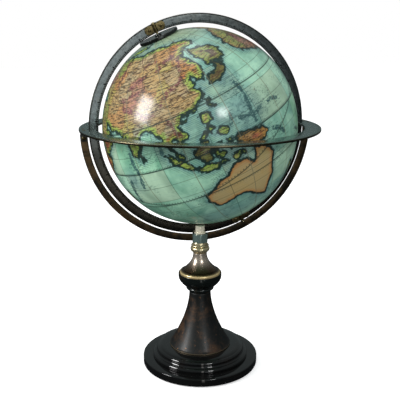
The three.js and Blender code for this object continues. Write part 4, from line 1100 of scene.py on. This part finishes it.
# A bearing plate is two round lobes joined by a waist, a parabola drawn in to 4 mm. The plate is
# screwed to the ring's front face, with its middle at one radius from the ball's centre.
PLATE_RADIUS = 174.4 * MM
t = np.linspace(0, 1, 13)[1:-1, None]
waist = (1 - t) ** 2 * [10, 7.2] + 2 * t * (1 - t) * [0, 4] + t**2 * [-10, 7.2]
plate_outline = mm(path(arc(10, 0, 7.2, -90, 90, 20), waist, arc(-10, 0, 7.2, 90, 270, 20), -waist))
hump = mm(path(eased([(0.8, 167.05), (3.6, 167.05), (3.6, 181.75), (0.8, 181.75)], 0.5)))
pin = mm(path((0.4, 138.5), (1.7, 138.5), (2, 138.8), (2, 182.3), (3.1, 182.45), (3.2, 182.7),
              arc(0, 179.03, 4.87, 48.9, 86, 10)))
for end, (pole, sign) in {"north": (NORTH, 1), "south": (SOUTH, -1)}.items():
    origin, (out_x, _, out_z) = pole
    middle = origin + out_z * PLATE_RADIUS
    front = axes(middle, out_x, out_z, (0, -1, 0))
    shells = [slab(plate_outline, -0.95 * MM, 1.2 * MM, 0.35 * MM, front),
              cheek(hump, 0.7 * MM, -1, pole, 32)]
    piece(f"{end}_bearing_plate", shells, "meridian", OLD_BRASS, (f"{end}_bearing",), 45)
    for number, x in ((1, -10), (2, 10)):
        where = middle + out_x * x * MM - SIDEWAYS * 2.2 * MM
        head = screw(where, (0, -1, 0), 2.6 * MM, 0.7 * MM, 0.6 * MM, 0.36 * MM, 0.9 * number + sign,
                     1.3 * MM, 5.5 * MM)
        piece(f"{end}_plate_screw_{number}", [head], "meridian", OLD_BRASS,
              (f"{end}_bearing_screw_{number}",))
    piece(f"{end}_pivot", [turned(pin, pole, 48)], "ball", PIVOT, (f"{end}_pivot_pin",), 45)

CAP_TOP = 162.28  # millimetres from the ball's centre
cap_lip = eased([(30.9, 158.58), (32, 158.58), (32, 162.68), (31, 162.68), (30.6, CAP_TOP),
                 (24, CAP_TOP)], 0.35)
cap = path((2.4, 161.1), (30.4, 161.1), (30.8, 160.9), (30.9, 158.7), cap_lip[1:-1], (30.4, CAP_TOP),
           (2.4, CAP_TOP))
piece("hour_plate", [turned(mm(cap), NORTH, 140)], "hour_circle", HOUR, ("hour_cap",), 45)
hub = path((2.4, 162.4),
           eased([(4, 162.4), (5.5, 162.4), (5.5, 163.6), (4.9, 164.1), (4.6, 164.98), (3, 164.98)], 0.4),
           (2.4, 164.98))
piece("hour_knob", [turned(mm(hub), NORTH, 64)], "hour_circle", BLACK, ("hour_cap_hub",), 45)


def figures(name, labels, size, thick, body, material):
    """Raised figures: each label is set, made a mesh, centred, and laid flat at its own place."""
    total, points, faces = 0, [], []
    for text, where in labels:
        curve = bpy.data.curves.new(name, "FONT")
        curve.body, curve.size, curve.extrude, curve.resolution_u = text, size, thick / 2, 3
        curve.align_x, curve.align_y = "CENTER", "CENTER"
        holder = bpy.data.objects.new(name, curve)
        bpy.context.scene.collection.objects.link(holder)
        flat = bpy.data.meshes.new_from_object(holder.evaluated_get(bpy.context.evaluated_depsgraph_get()))
        bpy.data.objects.remove(holder)
        shape = bmesh.new()
        shape.from_mesh(flat)
        bmesh.ops.remove_doubles(shape, verts=shape.verts, dist=1e-6)
        bmesh.ops.recalc_face_normals(shape, faces=shape.faces)
        shape.verts.ensure_lookup_table()
        points.append(place(np.array([v.co[:] for v in shape.verts]), where))
        faces += [[v.index + total for v in face.verts] for face in shape.faces]
        total += len(shape.verts)
        shape.free()
        bpy.data.meshes.remove(flat)
    return added(name, points, faces, body, material)


def on_ring(degrees, radius):
    """A flat place on the ring's front face, at an angle from the polar axis towards +X, whose
    upright points away from the ball."""
    turn = math.radians(degrees) - TILT
    up = np.array([math.sin(turn), 0, math.cos(turn)])
    return axes(CENTRE + up * radius + np.array([0, RING_FRONT, 0]), np.cross(up, [0, -1, 0]), up, (0, -1, 0))


# Degrees of latitude along the ring, but none at the poles, and the hours on the cap.
ring_labels = [(str(abs(90 - degrees % 180)), on_ring(degrees, MERIDIAN_IN + 9.9 * MM))
               for degrees in range(0, 360, 10) if degrees % 180]
figures("meridian_figures", ring_labels, 4.6 * MM, 0.1 * MM, "meridian", BLACK)
hour_labels = []
for hour in range(24):
    turn = math.radians(hour * 15 + 90)
    out = ACROSS * math.cos(turn) + SIDEWAYS * math.sin(turn)
    spot = CENTRE + AXIS * CAP_TOP * MM + out * 18.6 * MM
    hour_labels.append((str((hour + 11) % 12 + 1), axes(spot, np.cross(out, AXIS), out, AXIS)))
figures("hour_figures", hour_labels, 4.0 * MM, 0.1 * MM, "hour_circle", OLD_BRASS)

map_ball(map_finish())

# ---- Parts of the frame that keep their own shape ------------------------------------------------

for node, material in (("tie_rod", STEEL), ("tie_rod_washer", STEEL), ("tie_rod_nut", STEEL),
                       ("equator_joint_band", BOARD), ("north_pole_plug", WOOD), ("south_pole_plug", WOOD)):
    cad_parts[node].material_slots[0].material = material

# ---- Floor, light and camera ---------------------------------------------------------------------

scene = bpy.context.scene
scene.view_settings.view_transform = "Standard"


def card(name, corners, material):
    """One flat face that is part of the setting and not of the globe."""
    mesh = bpy.data.meshes.new(name)
    mesh.from_pydata(corners, [], [(0, 1, 2, 3)])
    mesh.materials.append(material)
    thing = bpy.data.objects.new(name, mesh)
    scene.collection.objects.link(thing)
    return thing


ground = Finish("pale_floor", Roughness=0.7, Specular_IOR_Level=0.0, Emission_Color=(1, 1, 1, 1),
                Emission_Strength=0.36)
floor = card("floor", [(-9, -9, -0.0002), (9, -9, -0.0002), (9, 9, -0.0002), (-9, 9, -0.0002)],
             ground.paint(ground.mix(ground.noise(3), (0.88, 0.88, 0.88), (0.92, 0.92, 0.92))))
floor.visible_glossy = floor.visible_diffuse = False  # the room lights the object, not the floor


def softbox(name, toward, distance, width, height, power):
    """A rectangular soft light that faces the ball from one side."""
    toward = np.array(toward, float)
    toward /= np.linalg.norm(toward)
    data = bpy.data.lights.new(name, "AREA")
    data.shape, data.size, data.size_y, data.energy = "RECTANGLE", width, height, power
    lamp = bpy.data.objects.new(name, data)
    across = np.cross([0, 0, 1], toward)
    across /= np.linalg.norm(across)
    turn = np.stack([across, np.cross(toward, across), toward], 1)
    lamp.matrix_world = Matrix.Translation(CENTRE + toward * distance) @ Matrix(turn.tolist()).to_4x4()
    scene.collection.objects.link(lamp)


softbox("side_light", (-0.94, -0.11, 0.33), 2.0, 0.6, 0.8, 34)
softbox("front_light", (0.17, -0.9, 0.38), 2.3, 0.42, 0.36, 11)
softbox("top_light", (-0.1, 0.15, 1.0), 2.2, 1.2, 1.2, 12)


class Studio(Finish):
    """The room round the object: white where it is seen, even where it lights matt surfaces, and in
    reflections dark below, grey above, with a soft pale patch and an upright strip in front."""

    def __init__(self):
        world = bpy.data.worlds.new("studio")
        world.use_nodes = True
        self.tree = world.node_tree
        self.tree.nodes.clear()
        self.at = self.add("ShaderNodeTexCoord", {}, {}, "Generated")
        scene.world = world

    def light(self, colour, strength=1.0):
        return self.add("ShaderNodeBackground", {}, {"Color": colour, "Strength": strength})


room = Studio()
across = room.vector("DOT_PRODUCT", room.at, (0.966, -0.259, 0), output="Value")
upward = room.parts(room.at)[2]
patch = room.vector("DOT_PRODUCT", room.at, (0.087, -0.995, -0.052), output="Value")
strip = room.line(across - 0.1, 0.04, 0.4) * room.rise(patch, 0.2, 0.5)
strip = strip * room.rise(upward, -0.5, -0.3) * room.rise(upward, 0.9, 0.6)
grey = room.mix(room.rise(upward, -0.25, 0.3), (0.015, 0.018, 0.02), (0.17, 0.2, 0.2))
mirrored = room.light(room.mix(room.rise(patch, 0.978, 0.996), grey, (1.5, 1.6, 1.64)))
mirrored = room.add("ShaderNodeAddShader", {}, [mirrored, room.light((1, 0.96, 0.92, 1), strip * 1.8)])
matt = room.light(room.mix(room.rise(upward, -0.7, 0.5), (0.5, 0.52, 0.52), (0.98, 0.99, 1)))
seen = room.light((1, 1, 1, 1))
for kind, other in (("Is Diffuse Ray", matt), ("Is Camera Ray", seen)):
    mirrored = room.add("ShaderNodeMixShader", {},
                        [room.add("ShaderNodeLightPath", {}, {}, kind), mirrored, other])
room.add("ShaderNodeOutputWorld", {}, [mirrored], None)

lens = bpy.data.cameras.new("camera")
lens.lens, lens.sensor_width, lens.clip_start = 60.63, 36, 0.05
LOOKS_DOWN, TURNED_RIGHT = math.radians(14.4077), math.radians(15.0297)
camera = bpy.data.objects.new("camera", lens)
camera.matrix_world = (Matrix.Translation((-0.2872, -1.0696, 0.5814))
                       @ Euler((math.pi / 2 - LOOKS_DOWN, 0, -TURNED_RIGHT)).to_matrix().to_4x4())
scene.collection.objects.link(camera)
scene.camera = camera
